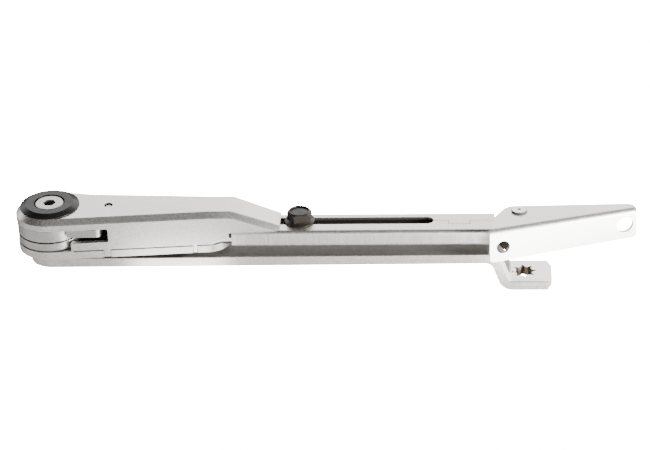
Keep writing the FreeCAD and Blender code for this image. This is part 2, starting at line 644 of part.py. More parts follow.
def detent_slider():
    body = new_body("detent_slider")
    top = f"({SLIDER_LOW} + dim.slider_height)"
    pad(body, loop(sketch_on(body, "XY_Plane", SLIDER_LOW), slider_outline()), "dim.slider_height")
    front = -size("slider_front")
    dress(body, "Fillet", "dim.slider_round", lambda e: runs_along(e, 2)
          and abs(e.Vertexes[0].Y - front) < 0.01 and abs(e.Vertexes[0].X - size("slider_back")) < 0.01)
    hollow = ring(sketch_on(body, "XY_Plane", SLIDER_LOW), "dim.disc_radius + dim.disc_clear")
    pocket(body, hollow, "dim.slider_height", back=True)
    reach = "dim.disc_radius + dim.nose_gap"
    nose = [(reach, "-0.6"), (f"{reach} + 2", "-dim.nose_half"), (f"{reach} + 2", "dim.nose_half"),
            (reach, "0.6")]
    pad(body, loop(sketch_on(body, "XY_Plane", SLIDER_LOW), nose), "dim.slider_height")
    guide = sketch_on(body, "XY_Plane", top)
    wide = "(dim.guide_radius + dim.play)"
    loop(guide, [(f"dim.guide_along - {wide} - dim.detent_travel", f"-{wide}"),
                 (f"dim.guide_along + {wide}", f"-{wide}"), (f"dim.guide_along + {wide}", wide),
                 (f"dim.guide_along - {wide} - dim.detent_travel", wide)])
    pocket(body, guide, "dim.slider_height")
    coil_bores(body, "dim.slider_back", "dim.fit_gap", "dim.pocket_depth", False)


def coil_level():
    return f"({CAM_TOP} - dim.slider_height / 2)"


def coil_bores(body, plane, gap, depth, back):
    """Blind bores that take the ends of the two coil springs."""
    bores = sketch_on(body, "YZ_Plane", plane)
    for sign in ("-", ""):
        ring(bores, f"dim.coil_radius + {gap}", f"{sign}dim.coil_side", coil_level())
    pocket(body, bores, depth, back=back)


def detent_springs():
    """Two coil springs between the slider and the spring block."""
    coils = []
    for k, sign in enumerate(("-", "")):
        helix = doc.addObject("Part::Helix", f"coil_path_{k}")
        helix.setExpression("Pitch", "dim.coil_length / dim.coil_turns - 0.2")
        helix.setExpression("Height", "dim.coil_length - 2 * dim.coil_wire - 0.1")
        helix.setExpression("Radius", "dim.coil_radius - dim.coil_wire")
        wire = doc.addObject("Part::Circle", f"coil_wire_{k}")
        wire.setExpression("Radius", "dim.coil_wire")
        wire.Placement = FreeCAD.Placement(FreeCAD.Vector(), FreeCAD.Rotation(FreeCAD.Vector(1, 0, 0), 90))
        wire.setExpression("Placement.Base.x", "dim.coil_radius - dim.coil_wire")
        coil = doc.addObject("Part::Sweep", f"coil_{k}")
        coil.Sections = [wire]
        coil.Spine = (helix, ["Edge1"])
        coil.Solid = True
        coil.Frenet = True
        coil.Placement = FreeCAD.Placement(FreeCAD.Vector(), FreeCAD.Rotation(FreeCAD.Vector(0, 1, 0), 90))
        seat(coil, "dim.slider_back - dim.pocket_depth + dim.coil_wire + 0.05",
             f"{sign}dim.coil_side", coil_level())
        coils.append(coil)
    keep("detent_springs", doc.addObject("Part::Compound", "detent_springs")).Links = coils


def spring_block():
    """Block screwed down on the plate, which backs the springs."""
    body = new_body("spring_block")
    end = "dim.block_start + dim.block_length"
    half = "(dim.tail_half - dim.side_wall - dim.play)"
    plan = [("dim.block_start", f"-{half}"), (end, f"-{half}"), (end, half),
            ("dim.block_start", half)]
    low, high = f"({PLATE_TOP} + 0.05)", f"({ROOF_LOW} - dim.play)"
    pad(body, loop(sketch_on(body, "XY_Plane", low), plan), f"{high} - {low}")
    taps = sketch_on(body, "XY_Plane", low)
    for along, side in screw_places()[:2]:
        ring(taps, "dim.screw_radius + dim.fit_gap", along, side)
    pocket(body, taps, "dim.screw_depth", back=True)
    reach = "dim.coil_length - dim.pocket_depth - (dim.block_start - dim.slider_back)"
    coil_bores(body, "dim.block_start", "dim.coil_play", f"{reach} + dim.detent_travel + 0.1", True)


# Rail

def slot_outline(sketch, start, end, half, side):
    loop(sketch, [(start, f"{side} - {half}"), (end, f"{side} - {half}"),
                  (end, f"{side} + {half}"), (start, f"{side} + {half}")])
    return sketch


def rail():
    body = new_body("rail")
    top = RAIL_TOP
    outer = [("-dim.rail_half", "dim.rail_low"), ("dim.rail_half", "dim.rail_low"),
             ("dim.rail_half", top), ("-dim.rail_half", top)]
    inner_half = "(dim.rail_half - dim.sheet)"
    inner = [(f"-{inner_half}", "dim.rail_low + dim.sheet"), (inner_half, "dim.rail_low + dim.sheet"),
             (inner_half, f"{top} - dim.sheet"), (f"-{inner_half}", f"{top} - dim.sheet")]
    section = loop(sketch_on(body, "YZ_Plane", "dim.rail_start"), outer)
    loop(section, inner)
    pad(body, section, "dim.rail_end - dim.rail_start")
    half = size("rail_half")
    dress(body, "Fillet", "dim.rail_round",
          lambda e: runs_along(e, 0) and abs(abs(e.Vertexes[0].Y) - half) < 0.01)
    rail_slot(body)
    rail_seam(body)
    rivets = sketch_on(body, "XY_Plane", "dim.rail_low")
    for k in range(2):
        ring(rivets, "dim.rivet_radius + dim.fit_gap", f"dim.rivet_a + {k} * dim.rivet_pitch")
    pocket(body, rivets, "dim.sheet", back=True)


def rail_slot(body):
    """Slot for the lock bolt, round at both ends."""
    straight = sketch_on(body, "XY_Plane", RAIL_TOP)
    slot_outline(straight, "dim.slot_start", "dim.slot_end", "dim.slot_half", "dim.slot_line")
    pocket(body, straight, "dim.sheet")
    for centre in ("dim.slot_start", "dim.slot_end"):
        end = ring(sketch_on(body, "XY_Plane", RAIL_TOP), "dim.slot_half", centre, "dim.slot_line")
        pocket(body, end, "dim.sheet")


def rail_seam(body):
    """Seam where the folded sheet closes, with one interlocking tooth."""
    y0, y1 = "dim.seam_line", "(dim.seam_line - dim.tooth_depth)"
    gap = "dim.seam_gap"
    start, end = "dim.slot_end", "dim.rail_end + 1"
    a, b = "dim.tooth_start", "dim.tooth_end"
    upper = [(start, f"{y0} + {gap}"), (f"{a} + {gap}", f"{y0} + {gap}"),
             (f"{a} + {gap}", f"{y1} + {gap}"), (b, f"{y1} + {gap}"), (b, f"{y0} + {gap}"),
             (end, f"{y0} + {gap}")]
    lower = [(end, y0), (f"{b} + {gap}", y0), (f"{b} + {gap}", y1), (a, y1), (a, y0), (start, y0)]
    pocket(body, loop(sketch_on(body, "XY_Plane", RAIL_TOP), upper + lower), "dim.sheet")


def rail_rivets():
    head = "dim.rail_low - dim.rivet_height"
    top = f"({ROD_TOP} - 0.5)"
    section = [("0", head), ("dim.rivet_head - 1", head), ("dim.rivet_head", f"{head} + 0.9"),
               ("dim.rivet_head", "dim.rail_low"), ("dim.rivet_radius", "dim.rail_low"),
               ("dim.rivet_radius", top), ("0", top)]
    places = [(f"dim.rivet_a + {k} * dim.rivet_pitch", "0") for k in range(2)]
    screw_group("rail_rivets", places, section)


# Push rod and lock bolt

def push_rod():
    """Flat rod that slides in the rail, with a raised eye for the bracket's pivot."""
    body = new_body("push_rod")
    y0, y1 = "dim.slot_line - dim.rod_half", "dim.slot_line + dim.rod_half"
    plan = [("dim.rod_start", y0), ("dim.pivot_along", y0), ("dim.pivot_along", y1),
            ("dim.rod_start", y1)]
    pad(body, loop(sketch_on(body, "XY_Plane", ROD_LOW), plan), f"{ROD_TOP} - {ROD_LOW}")
    eye = ring(sketch_on(body, "XY_Plane", ROD_LOW), "dim.eye_radius", "dim.pivot_along",
               "dim.slot_line")
    pad(body, eye, "dim.eye_height")
    bore = ring(sketch_on(body, "XY_Plane", ROD_LOW), "dim.eye_bush + dim.fit_gap",
                "dim.pivot_along", "dim.slot_line")
    pocket(body, bore, "dim.eye_height", back=True)
    tap = ring(sketch_on(body, "XY_Plane", ROD_LOW), "dim.thread_radius + dim.fit_gap",
               "dim.bolt_along", "dim.slot_line")
    pocket(body, tap, f"{ROD_TOP} - {ROD_LOW}", back=True)


def lock_bolt():
    """Hexagon flange bolt with a dished head."""
    low = f"({RAIL_TOP} + 0.05)"
    thick, flange = "dim.bolt_flange_thick", "dim.bolt_flange"
    across = "(dim.hex_bolt_flats / sqrt(3))"
    top = f"({low} + dim.bolt_height)"
    body = turned("lock_bolt", [
        ("0", f"{ROD_LOW} + 0.3"), ("dim.thread_radius", f"{ROD_LOW} + 0.3"),
        ("dim.thread_radius", low), (f"{flange} - 0.3", low), (flange, f"{low} + 0.4"),
        (flange, f"{low} + 0.8"), (f"{across} - 0.9", f"{low} + {thick} + 0.8"),
        (f"{across} - 0.9", f"{low} + {thick} + 0.9"), ("0", f"{low} + {thick} + 0.9")],
        "dim.bolt_along", "dim.slot_line")
    start = f"{low} + {thick} + 0.5"
    head = hexagon(sketch_on(body, "XY_Plane", start), "dim.hex_bolt_flats", "dim.bolt_turn")
    pad(body, head, f"{top} - ({start})")
    round_the_head(body, top, across)
    dish = ring(sketch_on(body, "XY_Plane", top), "dim.bolt_dish_radius")
    pocket(body, dish, "dim.bolt_dish")


def round_the_head(body, top, across):
    """Turn the hexagon's upper corners down to a cone."""
    sketch = sketch_on(body, "XZ_Plane")
    loop(sketch, [(f"{across} - 1.6", f"{top} + 0.1"), (f"{across} + 2", f"{top} - 2.2"),
                  (f"{across} + 2", f"{top} + 1"), (f"{across} - 1.6", f"{top} + 1")])
    before = body.Shape.Volume
    groove = body.newObject("PartDesign::Groove", "lock_bolt_groove")
    groove.Profile = sketch
    groove.ReferenceAxis = (sketch, ["V_Axis"])
    groove.Angle = 360
    doc.recompute()
    if body.Shape.Volume > before - 1e-3:
        raise RuntimeError("the bolt's corners are not turned")


def eye_bush():
    washer("eye_bush", "dim.pivot_radius + dim.fit_gap", "dim.eye_bush", ROD_LOW, EYE_TOP,
           "dim.pivot_along", "dim.slot_line")


# Frame bracket

def pivot_pieces():
    foot = f"({ROD_LOW} - dim.play)"
    low, top = f"({foot} - dim.pivot_foot_height)", f"({SHEET_TOP} + dim.pivot_head_height)"
    turned("pivot_rivet", [
        ("0", low), ("dim.pivot_foot", low), ("dim.pivot_foot", foot),
        ("dim.pivot_radius", foot), ("dim.pivot_radius", SHEET_TOP),
        ("dim.pivot_head", SHEET_TOP), ("dim.pivot_head", f"{top} - 0.3"),
        ("dim.pivot_head - 0.3", top), ("1", top), ("0.4", f"{top} - 0.5"), ("0", f"{top} - 0.5")],
        "dim.pivot_along", "dim.slot_line")
    washer("pivot_washer", "dim.pivot_radius + dim.fit_gap", "dim.washer_wide",
           f"{EYE_TOP} + dim.play", SHEET_LOW, "dim.pivot_along", "dim.slot_line")


def frame_bracket():
    """Folded bracket: a top flange on the pivot and a tapering front flange with two holes."""
    body = new_body("frame_bracket")
    seat(body, "dim.pivot_along", "dim.slot_line")
    body.Placement.Rotation = FreeCAD.Rotation(FreeCAD.Vector(0, 0, 1), size("bracket_turn"))
    body.setExpression("Placement.Rotation.Angle", "dim.bracket_turn")
    fold = "-dim.fold_line"
    top = [("-dim.bracket_left", fold), ("dim.bracket_right", fold),
           ("dim.bracket_right", "-dim.back_far - (dim.bracket_right - dim.back_right)"),
           ("dim.back_right", "-dim.back_far"), ("-dim.back_left", "dim.back_side"),
           ("-dim.cheek_along", "-dim.cheek_side")]
    pad(body, loop(sketch_on(body, "XY_Plane", SHEET_LOW), top), "dim.bracket_sheet")
    front = [("-dim.bracket_left", SHEET_TOP), ("-dim.bracket_left", f"{SHEET_TOP} - dim.flange_left"),
             ("dim.bracket_right", f"{SHEET_TOP} - dim.flange_right"), ("dim.bracket_right", SHEET_TOP)]
    face = "dim.fold_line - dim.bracket_sheet"
    pad(body, loop(sketch_on(body, "XZ_Plane", face), front), "dim.bracket_sheet")
    round_the_bracket(body)
    holes = sketch_on(body, "XZ_Plane", face)
    ring(holes, "dim.hole_a_radius", "-dim.hole_a_along", f"{SHEET_TOP} - dim.hole_a_down")
    ring(holes, "dim.hole_b_radius", "dim.hole_b_along", f"{SHEET_TOP} - dim.hole_b_down")
    pocket(body, holes, "dim.bracket_sheet", back=True)
    pocket(body, ring(sketch_on(body, "XY_Plane", SHEET_LOW), "dim.pivot_radius + dim.fit_gap"),
           "dim.bracket_sheet", back=True)


def round_the_bracket(body):
    """Round the fold and the free corners of both flanges."""
    fold = -size("fold_line")

    def on_fold(edge):
        a, b = ends(edge)
        return runs_along(edge, 0) and abs(a.y - fold) < 0.01 and abs(a.z - b.z) < 0.01

    top = max(v.Z for v in body.Tip.Shape.Vertexes)
    dress(body, "Fillet", "dim.fold_round", lambda e: on_fold(e) and abs(e.Vertexes[0].Z - top) < 0.01)
    sheet = size("bracket_sheet")
    dress(body, "Fillet", "dim.fold_round - dim.bracket_sheet", lambda e: runs_along(e, 0)
          and abs(e.Vertexes[0].Y - fold - sheet) < 0.01 and abs(e.Vertexes[0].Z - top + sheet) < 0.01)
    dress(body, "Fillet", "dim.bracket_corner", lambda e: runs_along(e, 1)
          and e.Vertexes[0].Z < top - sheet - 1)
    back = size("back_side")
    dress(body, "Fillet", "dim.back_corner", lambda e: runs_along(e, 2)
          and abs(e.Vertexes[0].Y - back) < 0.01)


def check_and_export():
    doc.recompute()
    for thing in doc.Objects:
        if "Invalid" in thing.State or "Error" in thing.State:
            raise RuntimeError(f"{thing.Label} is {thing.State}")
    os.makedirs("parts", exist_ok=True)
    for name, part in parts.items():
        shape = part.Shape
        if shape.isNull() or not shape.isValid() or not shape.Solids:
            raise RuntimeError(f"{name} has no valid solid")
        shape.exportStep(f"parts/{name}.step")
        print(name, len(shape.Solids), round(shape.Volume, 1))


def build():
    fill_sheet()
    main_arm_bar()
    elbow_pin()
    elbow_washers()
    index_disc()
    cam_disc()
    disc_spring()
    clamp_ring()
    clamp_screw()
    elbow_housing()
    lower_plate()
    elbow_bushes()
    guide_pin()
    spring_block()
    housing_screws()
    detent_slider()
    detent_springs()
    rail()
    rail_rivets()
    push_rod()
    eye_bush()
    lock_bolt()
    frame_bracket()
    pivot_pieces()
    check_and_export()


build()
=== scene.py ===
"""Finish and stage for a folded door closer hold-open arm.

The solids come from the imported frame. Each operator here dresses one piece, or one group of
like pieces, with its rounded edges, its procedural finish and its small repeated parts.
"""

import math

import bmesh
import bpy
from bpy.props import FloatProperty, FloatVectorProperty, IntProperty, PointerProperty
from mathutils import Matrix, Vector


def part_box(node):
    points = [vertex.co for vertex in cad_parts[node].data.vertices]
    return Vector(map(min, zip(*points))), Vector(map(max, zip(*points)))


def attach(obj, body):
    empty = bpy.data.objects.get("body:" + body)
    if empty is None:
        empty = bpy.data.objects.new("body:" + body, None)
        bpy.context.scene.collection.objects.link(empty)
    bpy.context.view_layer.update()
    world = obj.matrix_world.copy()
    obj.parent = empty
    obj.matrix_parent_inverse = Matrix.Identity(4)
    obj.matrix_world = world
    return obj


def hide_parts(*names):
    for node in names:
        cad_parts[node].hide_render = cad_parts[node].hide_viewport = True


bl_info = {
    "name": "Hold-open arm finish",
    "version": (1, 0, 0),
    "blender": (4, 5, 0),
    "location": "View3D > Sidebar > Arm",
    "description": "Dresses a folded hold-open arm and sets it in a plain studio",
    "category": "Object",
}

MM = 0.001

# Upright axes that pieces and finishes share
ELBOW = (-283.5 * MM, 0)
GUIDE_PIN = (-248 * MM, 0)
SOCKET = (0, 0)
PIVOT = (-3 * MM, 1.7 * MM)

# Regions of a finish in millimetres, nearly all of painted shade and painted highlights:
# (low, high) along x, y and z, or None for an open axis
TAB = ((-15, 20), (-15, 15), (-1, 8))
TAB_LIP = ((-9, 15), (-12.7, -12.0), (5.2, 6.2))
BAR_TOP = ((-300, -17), (-12.2, 20), (24.2, 25))
BAR_WEDGE = ((-300, -206), (-12.2, 20), (24.2, 25))
CRANK = ((-24, -4), None, (5.5, 24.6))
CRANK_BACK = ((-24, -4), (-2, 20), (7, 23))
SCREW_SOCKET = (None, None, (50, 55.2))
LUG = ((-197.3, -194.7), (-30, -5), (27, 33.4))
LUG_EDGES = [((side - 0.2, side + 0.2), (-30, -5), (27, 32.8))
             for side in (-250.1, -246.1, -197.1, -194.7)]
WINDOW_SILL = ((-272, -245), (-20, -4), (39.5, 42))
HOUSING_NOTCH = ((-175.6, -173.9), (-30, -5), (36.2, 40.3))
PLATE_NOTCH = ((-175.8, -173.6), (-30, -5), (35.6, 40.5))
PLATE_SEAM = ((-268, -100), None, (32.1, 33.2))
RAIL_SLOT = ((-146.5, -57), (-2.6, 6), (30, 40.4))
RAIL_CORNER = ((-20, -17), (-12, -11), None)
RAIL_BROWN_PATCH = ((-26, -22), (-12, -10), (31, 35))
RIVET_HEAD = (None, None, (46, 50))

# How level a face is, from 0 for a wall to 1, where it counts as level or as a wall
LEVEL, STEEP = 0.85, 0.5

# Stretch of a grain along x, y and z
DISC_STREAK = (60, 60, 2600)
RAIL_STREAK = (1.3, 1.3, 0.12)
EVEN_TOOTH = (900, 900, 900)

# Limits for joining, flattening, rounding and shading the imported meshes; angles in degrees
JOIN = 0.002 * MM
FLAT_ANGLE = 0.6
EDGE_ANGLE = 32
SMOOTH_ANGLE = 28
BEVEL_ANGLE = 12

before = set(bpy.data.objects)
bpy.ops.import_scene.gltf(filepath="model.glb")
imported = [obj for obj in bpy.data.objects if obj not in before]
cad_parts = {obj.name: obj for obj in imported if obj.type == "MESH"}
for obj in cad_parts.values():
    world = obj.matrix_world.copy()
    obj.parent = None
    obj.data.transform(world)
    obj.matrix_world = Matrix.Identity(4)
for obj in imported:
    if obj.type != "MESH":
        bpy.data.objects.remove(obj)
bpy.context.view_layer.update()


# Sizes and colours

def colour(name, description, value):
    return FloatVectorProperty(name=name, description=description, default=value, size=3,
                               subtype="COLOR", min=0.0, max=1.0)


def length(name, description, value):
    return FloatProperty(name=name, description=description, default=value, unit="LENGTH",
                         subtype="DISTANCE", min=0.0, precision=5)


class ArmColours(bpy.types.PropertyGroup):
    coat: colour("Silver coat", "Colour of the coated arm, housing and rail", (0.78, 0.75, 0.705))
    bracket: colour("Bracket coat", "Colour of the bracket's paler coat", (0.86, 0.84, 0.805))
    steel: colour("Polished steel", "Colour of the discs and the slider", (0.62, 0.6, 0.57))
    zinc: colour("Zinc", "Colour of the screw, rivets and pins", (0.66, 0.655, 0.64))
    bronzed: colour("Bronzed steel", "Colour of the clamp ring", (0.012, 0.011, 0.01))
    oxide: colour("Black oxide", "Colour of the lock bolt", (0.02, 0.016, 0.012))
    bush: colour("Bush bronze", "Colour of the plain bearings", (0.45, 0.34, 0.2))
    # Brown painted shade on the spindle socket's walls; it also colours the brown patch on the
    # rail
    socket: colour("Socket walls", "Colour of the brown painted shade on the spindle socket's walls",
                   (0.2, 0.15, 0.09))
    # Near-black painted shade for the seams, bores, notches, gaps and washers that lie in shade
    painted_shade: colour("Painted shade", "Colour of the shaded seams, bores and slots", (0.03, 0.024, 0.018))
    # Dark painted shade for the rail's slot and the rod in it, the screw's socket and the rivet's
    # rim
    hollow: colour("Slot", "Colour of the walls and the rod in the rail's slot",
                   (0.06, 0.052, 0.042))
    # Painted shade on the coat under the rail, along the lugs' sides, the tab's lip and the rail
    # by the bracket
    shadow: colour("Painted coat shade", "Colour of the coat where the rail keeps it in shade",
                   (0.06, 0.056, 0.052))


class ArmSizes(bpy.types.PropertyGroup):
    cast_round: length("Cast edge", "Rounding of the housing's cast edges", 0.35 * MM)
    sheet_round: length("Sheet edge", "Rounding of the sheet metal's cut edges", 0.25 * MM)
    turned_round: length("Turned edge", "Rounding of the turned pieces' edges", 0.15 * MM)
    grain: length("Coat grain", "Size of the grain in the silver coat", 1.1 * MM)
    grain_depth: length("Grain depth", "Depth of the grain in the silver coat", 0.04 * MM)
    coil_radius: length("Coil radius", "Outer radius of the detent springs", 2 * MM)
    wire_radius: length("Wire radius", "Radius of the springs' wire", 0.4 * MM)
    coil_turns: FloatProperty(name="Coil turns", description="Turns of each detent spring",
                              default=9.0, min=2.0, max=30.0)
    coil_steps: IntProperty(name="Coil steps", description="Steps in each turn of a spring",
                            default=28, min=8, max=64)


def brightness(name, description, value):
    return FloatProperty(name=name, description=description, default=value, min=0.0, max=100.0)


class ArmStudio(bpy.types.PropertyGroup):
    # The floor glows: these set its painted light, which stands for light a lit floor throws back
    floor_white: brightness("Floor white", "Brightness of the floor as the camera sees it", 40.0)
    floor_left: brightness("Floor at left", "Light that the floor throws back at the elbow", 0.36)
    floor_right: brightness("Floor at right", "Light that the floor throws back at the tab", 0.83)
    floor_behind: brightness("Floor behind", "Light that the floor throws back behind the arm",
                             0.03)
    floor_crank: brightness("Floor beyond the crank", "Light from the floor beyond the tab", 1.6)
    glint: brightness("Glint", "Extra light on the floor that the discs mirror", 6.0)
    pool: brightness("Light pool", "Extra light from the pool in front of the bracket", 13.0)
    back_wall: brightness("Back wall", "Brightness of the wall behind", 2.9)
    zenith: brightness("Ceiling", "Brightness straight above", 0.04)
    right_wall: brightness("Right wall", "Brightness of the wall at the right", 1.3)
    front_high: brightness("Front, high up", "Brightness above the camera", 0.1)
    front_wall: brightness("Front wall", "Brightness behind the camera", 0.8)
    key: FloatProperty(name="Key power", description="Power of the softbox at the right",
                       default=18.0, min=0.0, max=200.0, unit="POWER", subtype="POWER")
    lens: FloatProperty(name="Lens", description="Focal length of the camera", default=127.385,
                        min=10.0, max=300.0, unit="CAMERA")


# Helpers for node trees

def link(tree, source, target):
    tree.links.new(source, target)


def new_material(name):
    material = bpy.data.materials.new(name)
    material.use_nodes = True
    return material, material.node_tree, material.node_tree.nodes["Principled BSDF"]


def object_place(tree, scale=(1, 1, 1)):
    """Object coordinates, scaled for a stretched pattern."""
    place = tree.nodes.new("ShaderNodeTexCoord")
    mapping = tree.nodes.new("ShaderNodeMapping")
    mapping.inputs["Scale"].default_value = scale
    link(tree, place.outputs["Object"], mapping.inputs["Vector"])
    return mapping.outputs["Vector"]


def noise(tree, place, scale, detail=3.0, rough=0.6):
    node = tree.nodes.new("ShaderNodeTexNoise")
    node.inputs["Scale"].default_value = scale
    node.inputs["Detail"].default_value = detail
    node.inputs["Roughness"].default_value = rough
    link(tree, place, node.inputs["Vector"])
    return node.outputs["Fac"]


def spread(tree, value, low, high, to_low, to_high):
    """A value mapped from one span to another, held at both ends."""
    node = tree.nodes.new("ShaderNodeMapRange")
    for name, number in (("From Min", low), ("From Max", high), ("To Min", to_low),
                         ("To Max", to_high)):
        node.inputs[name].default_value = number
    link(tree, value, node.inputs["Value"])
    return node.outputs["Result"]


def vary(tree, pattern, low, high):
    """A value that follows a noise pattern from low to high."""
    return spread(tree, pattern, 0.3, 0.7, low, high)


def tint(tree, value, dark, light):
    """A colour between two others."""
    node = tree.nodes.new("ShaderNodeMix")
    node.data_type = "RGBA"
    node.inputs["A"].default_value = (*dark, 1)
    node.inputs["B"].default_value = (*light, 1)
    link(tree, value, node.inputs["Factor"])
    return node.outputs["Result"]


def maths(tree, operation, *values):
    node = tree.nodes.new("ShaderNodeMath")
    node.operation = operation
    for socket, value in zip(node.inputs, values):
        feed(tree, value, socket)
    return node.outputs["Value"]


def feed(tree, value, socket):
    """Set a socket from a number, or from another node's output."""
    if isinstance(value, (int, float)):
        socket.default_value = value
    else:
        link(tree, value, socket)


def times(tree, one, other):
    return maths(tree, "MULTIPLY", one, other)


def plus(tree, one, other):
    return maths(tree, "ADD", one, other)


def blend(tree, share, first, second):
    """A number between two others."""
    node = tree.nodes.new("ShaderNodeMix")
    for name, value in (("Factor", share), ("A", first), ("B", second)):
        feed(tree, value, node.inputs[name])
    return node.outputs["Result"]


def split(tree, vector):
    parts = tree.nodes.new("ShaderNodeSeparateXYZ")
    link(tree, vector, parts.inputs["Vector"])
    return parts.outputs["X"], parts.outputs["Y"], parts.outputs["Z"]


def upright(tree):
    """How far a face looks up or down: 1 for a level face, 0 for a wall."""
    normal = tree.nodes.new("ShaderNodeNewGeometry").outputs["Normal"]
    return maths(tree, "ABSOLUTE", split(tree, normal)[2])


def near(tree, value, low, high, soft):
    """1 between two places along an axis, falling to 0 over a soft border."""
    rise = spread(tree, value, low - soft, low, 0.0, 1.0)
    fall = spread(tree, value, high, high + soft, 1.0, 0.0)
    return times(tree, rise, fall)


def round_an_axis(tree, centre, radius, soft=0.05 * MM):
    """1 within a radius of an upright axis, in object coordinates."""
    x, y, _ = split(tree, object_place(tree))
    squares = [times(tree, side, side) for side in (maths(tree, "SUBTRACT", x, centre[0]),
                                                    maths(tree, "SUBTRACT", y, centre[1]))]
    away = maths(tree, "SQRT", plus(tree, *squares))
    return spread(tree, away, radius, radius + soft, 1.0, 0.0)


def level(tree):
    """1 on level faces, 0 on the others."""
    return maths(tree, "GREATER_THAN", upright(tree), LEVEL)


def steep(tree, limit=STEEP):
    """1 on faces that are steeper than a limit, 0 on level faces."""
    return maths(tree, "LESS_THAN", upright(tree), limit)


def star_tips(tree, points=8, turn=math.radians(6), inner=5.5 * MM, outer=7 * MM):
    """1 in the points of the spindle socket's star, and a little beyond them."""
    x, y, z = split(tree, object_place(tree))
    angle = maths(tree, "SUBTRACT", maths(tree, "ARCTAN2", y, x), turn)
    wave = maths(tree, "COSINE", times(tree, angle, points))
    ring = maths(tree, "SUBTRACT", round_an_axis(tree, SOCKET, outer, 0.3 * MM),
                 round_an_axis(tree, SOCKET, inner, 0.2 * MM))
    low = spread(tree, z, 6.6 * MM, 7 * MM, 1.0, 0.0)
    return times(tree, times(tree, spread(tree, wave, 0.4, 0.9, 0.0, 1.0), ring), low)


def within(tree, region, soft=0.1 * MM):
    """1 inside a region of the object's coordinates, falling to 0 over a soft border."""
    share = 1.0
    for value, side in zip(split(tree, object_place(tree)), region):
        if side is not None:
            low, high = side
            share = times(tree, share, near(tree, value, low * MM, high * MM, soft))
    return share


def paint_shade_and_light(material, share, painted_colour, rough=0.6, metal=0.1):
    """Paint shade into seams, bores and slots, pale highlights and a brown patch where the share
    is 1.
    """
    tree = material.node_tree
    shader = tree.nodes["Principled BSDF"]
    for name, value in (("Base Color", (*painted_colour, 1)), ("Roughness", rough), ("Metallic", metal)):
        socket = shader.inputs[name]
        mix = tree.nodes.new("ShaderNodeMix")
        mix.data_type = "RGBA" if name == "Base Color" else "FLOAT"
        if socket.is_linked:
            link(tree, socket.links[0].from_socket, mix.inputs["A"])
        else:
            mix.inputs["A"].default_value = socket.default_value
        mix.inputs["B"].default_value = value
        link(tree, share, mix.inputs["Factor"])
        link(tree, mix.outputs["Result"], socket)


def bump(tree, height, depth):
    node = tree.nodes.new("ShaderNodeBump")
    node.inputs["Distance"].default_value = depth
    link(tree, height, node.inputs["Height"])
    return node.outputs["Normal"]


def shade(base, amount):
    """A colour made lighter or darker."""
    return tuple(min(1.0, max(0.0, channel * amount)) for channel in base)


# Finishes

def silver_coat(name, base, rough=0.36, streak=(1, 1, 1)):
    """Satin silver coat: metal flake with a fine grain and a faint mottle."""
    sizes = bpy.context.scene.arm_sizes
    material, tree, shader = new_material(name)
    grain = noise(tree, object_place(tree, streak), 1.0 / sizes.grain, 4.0, 0.7)
    mottle = noise(tree, object_place(tree), 45.0, 2.0)
    pale = tint(tree, vary(tree, grain, 0.0, 1.0), shade(base, 0.84), shade(base, 1.13))
    mix = tree.nodes.new("ShaderNodeMix")
    mix.data_type = "RGBA"
    mix.blend_type = "MULTIPLY"
    mix.inputs["Factor"].default_value = 1.0
    link(tree, pale, mix.inputs["A"])
    link(tree, tint(tree, mottle, (0.95, 0.95, 0.95), (1, 1, 1)), mix.inputs["B"])
    link(tree, mix.outputs["Result"], shader.inputs["Base Color"])
    shader.inputs["Metallic"].default_value = 0.93
    link(tree, vary(tree, grain, rough - 0.06, rough + 0.08), shader.inputs["Roughness"])
    link(tree, bump(tree, grain, sizes.grain_depth), shader.inputs["Normal"])
    return material


def polished_steel(name, base, rough, streak=EVEN_TOOTH, depth=0.006 * MM):
    """Ground and polished steel with fine streaks along the cut, or an even tooth."""
    material, tree, shader = new_material(name)
    streaks = noise(tree, object_place(tree, streak), 1.0, 3.0, 0.65)
    cloud = noise(tree, object_place(tree), 110.0, 2.0)
    clouded = tint(tree, cloud, shade(base, 0.9), shade(base, 1.06))
    link(tree, clouded, shader.inputs["Base Color"])
    shader.inputs["Metallic"].default_value = 1.0
    link(tree, vary(tree, streaks, rough - 0.05, rough + 0.1), shader.inputs["Roughness"])
    link(tree, bump(tree, streaks, depth), shader.inputs["Normal"])
    return material


def dark_steel(name, base, rough, gloss):
    """Blackened steel with a faint cloud and a fine tooth."""
    material, tree, shader = new_material(name)
    place = object_place(tree)
    cloud = noise(tree, place, 240.0, 4.0)
    fine = noise(tree, place, 2200.0, 3.0)
    clouded = tint(tree, cloud, shade(base, 0.75), shade(base, 1.3))
    link(tree, clouded, shader.inputs["Base Color"])
    shader.inputs["Specular IOR Level"].default_value = gloss
    link(tree, vary(tree, cloud, rough - 0.05, rough + 0.08), shader.inputs["Roughness"])
    link(tree, bump(tree, fine, 0.005 * MM), shader.inputs["Normal"])
    return material


# Helpers for pieces

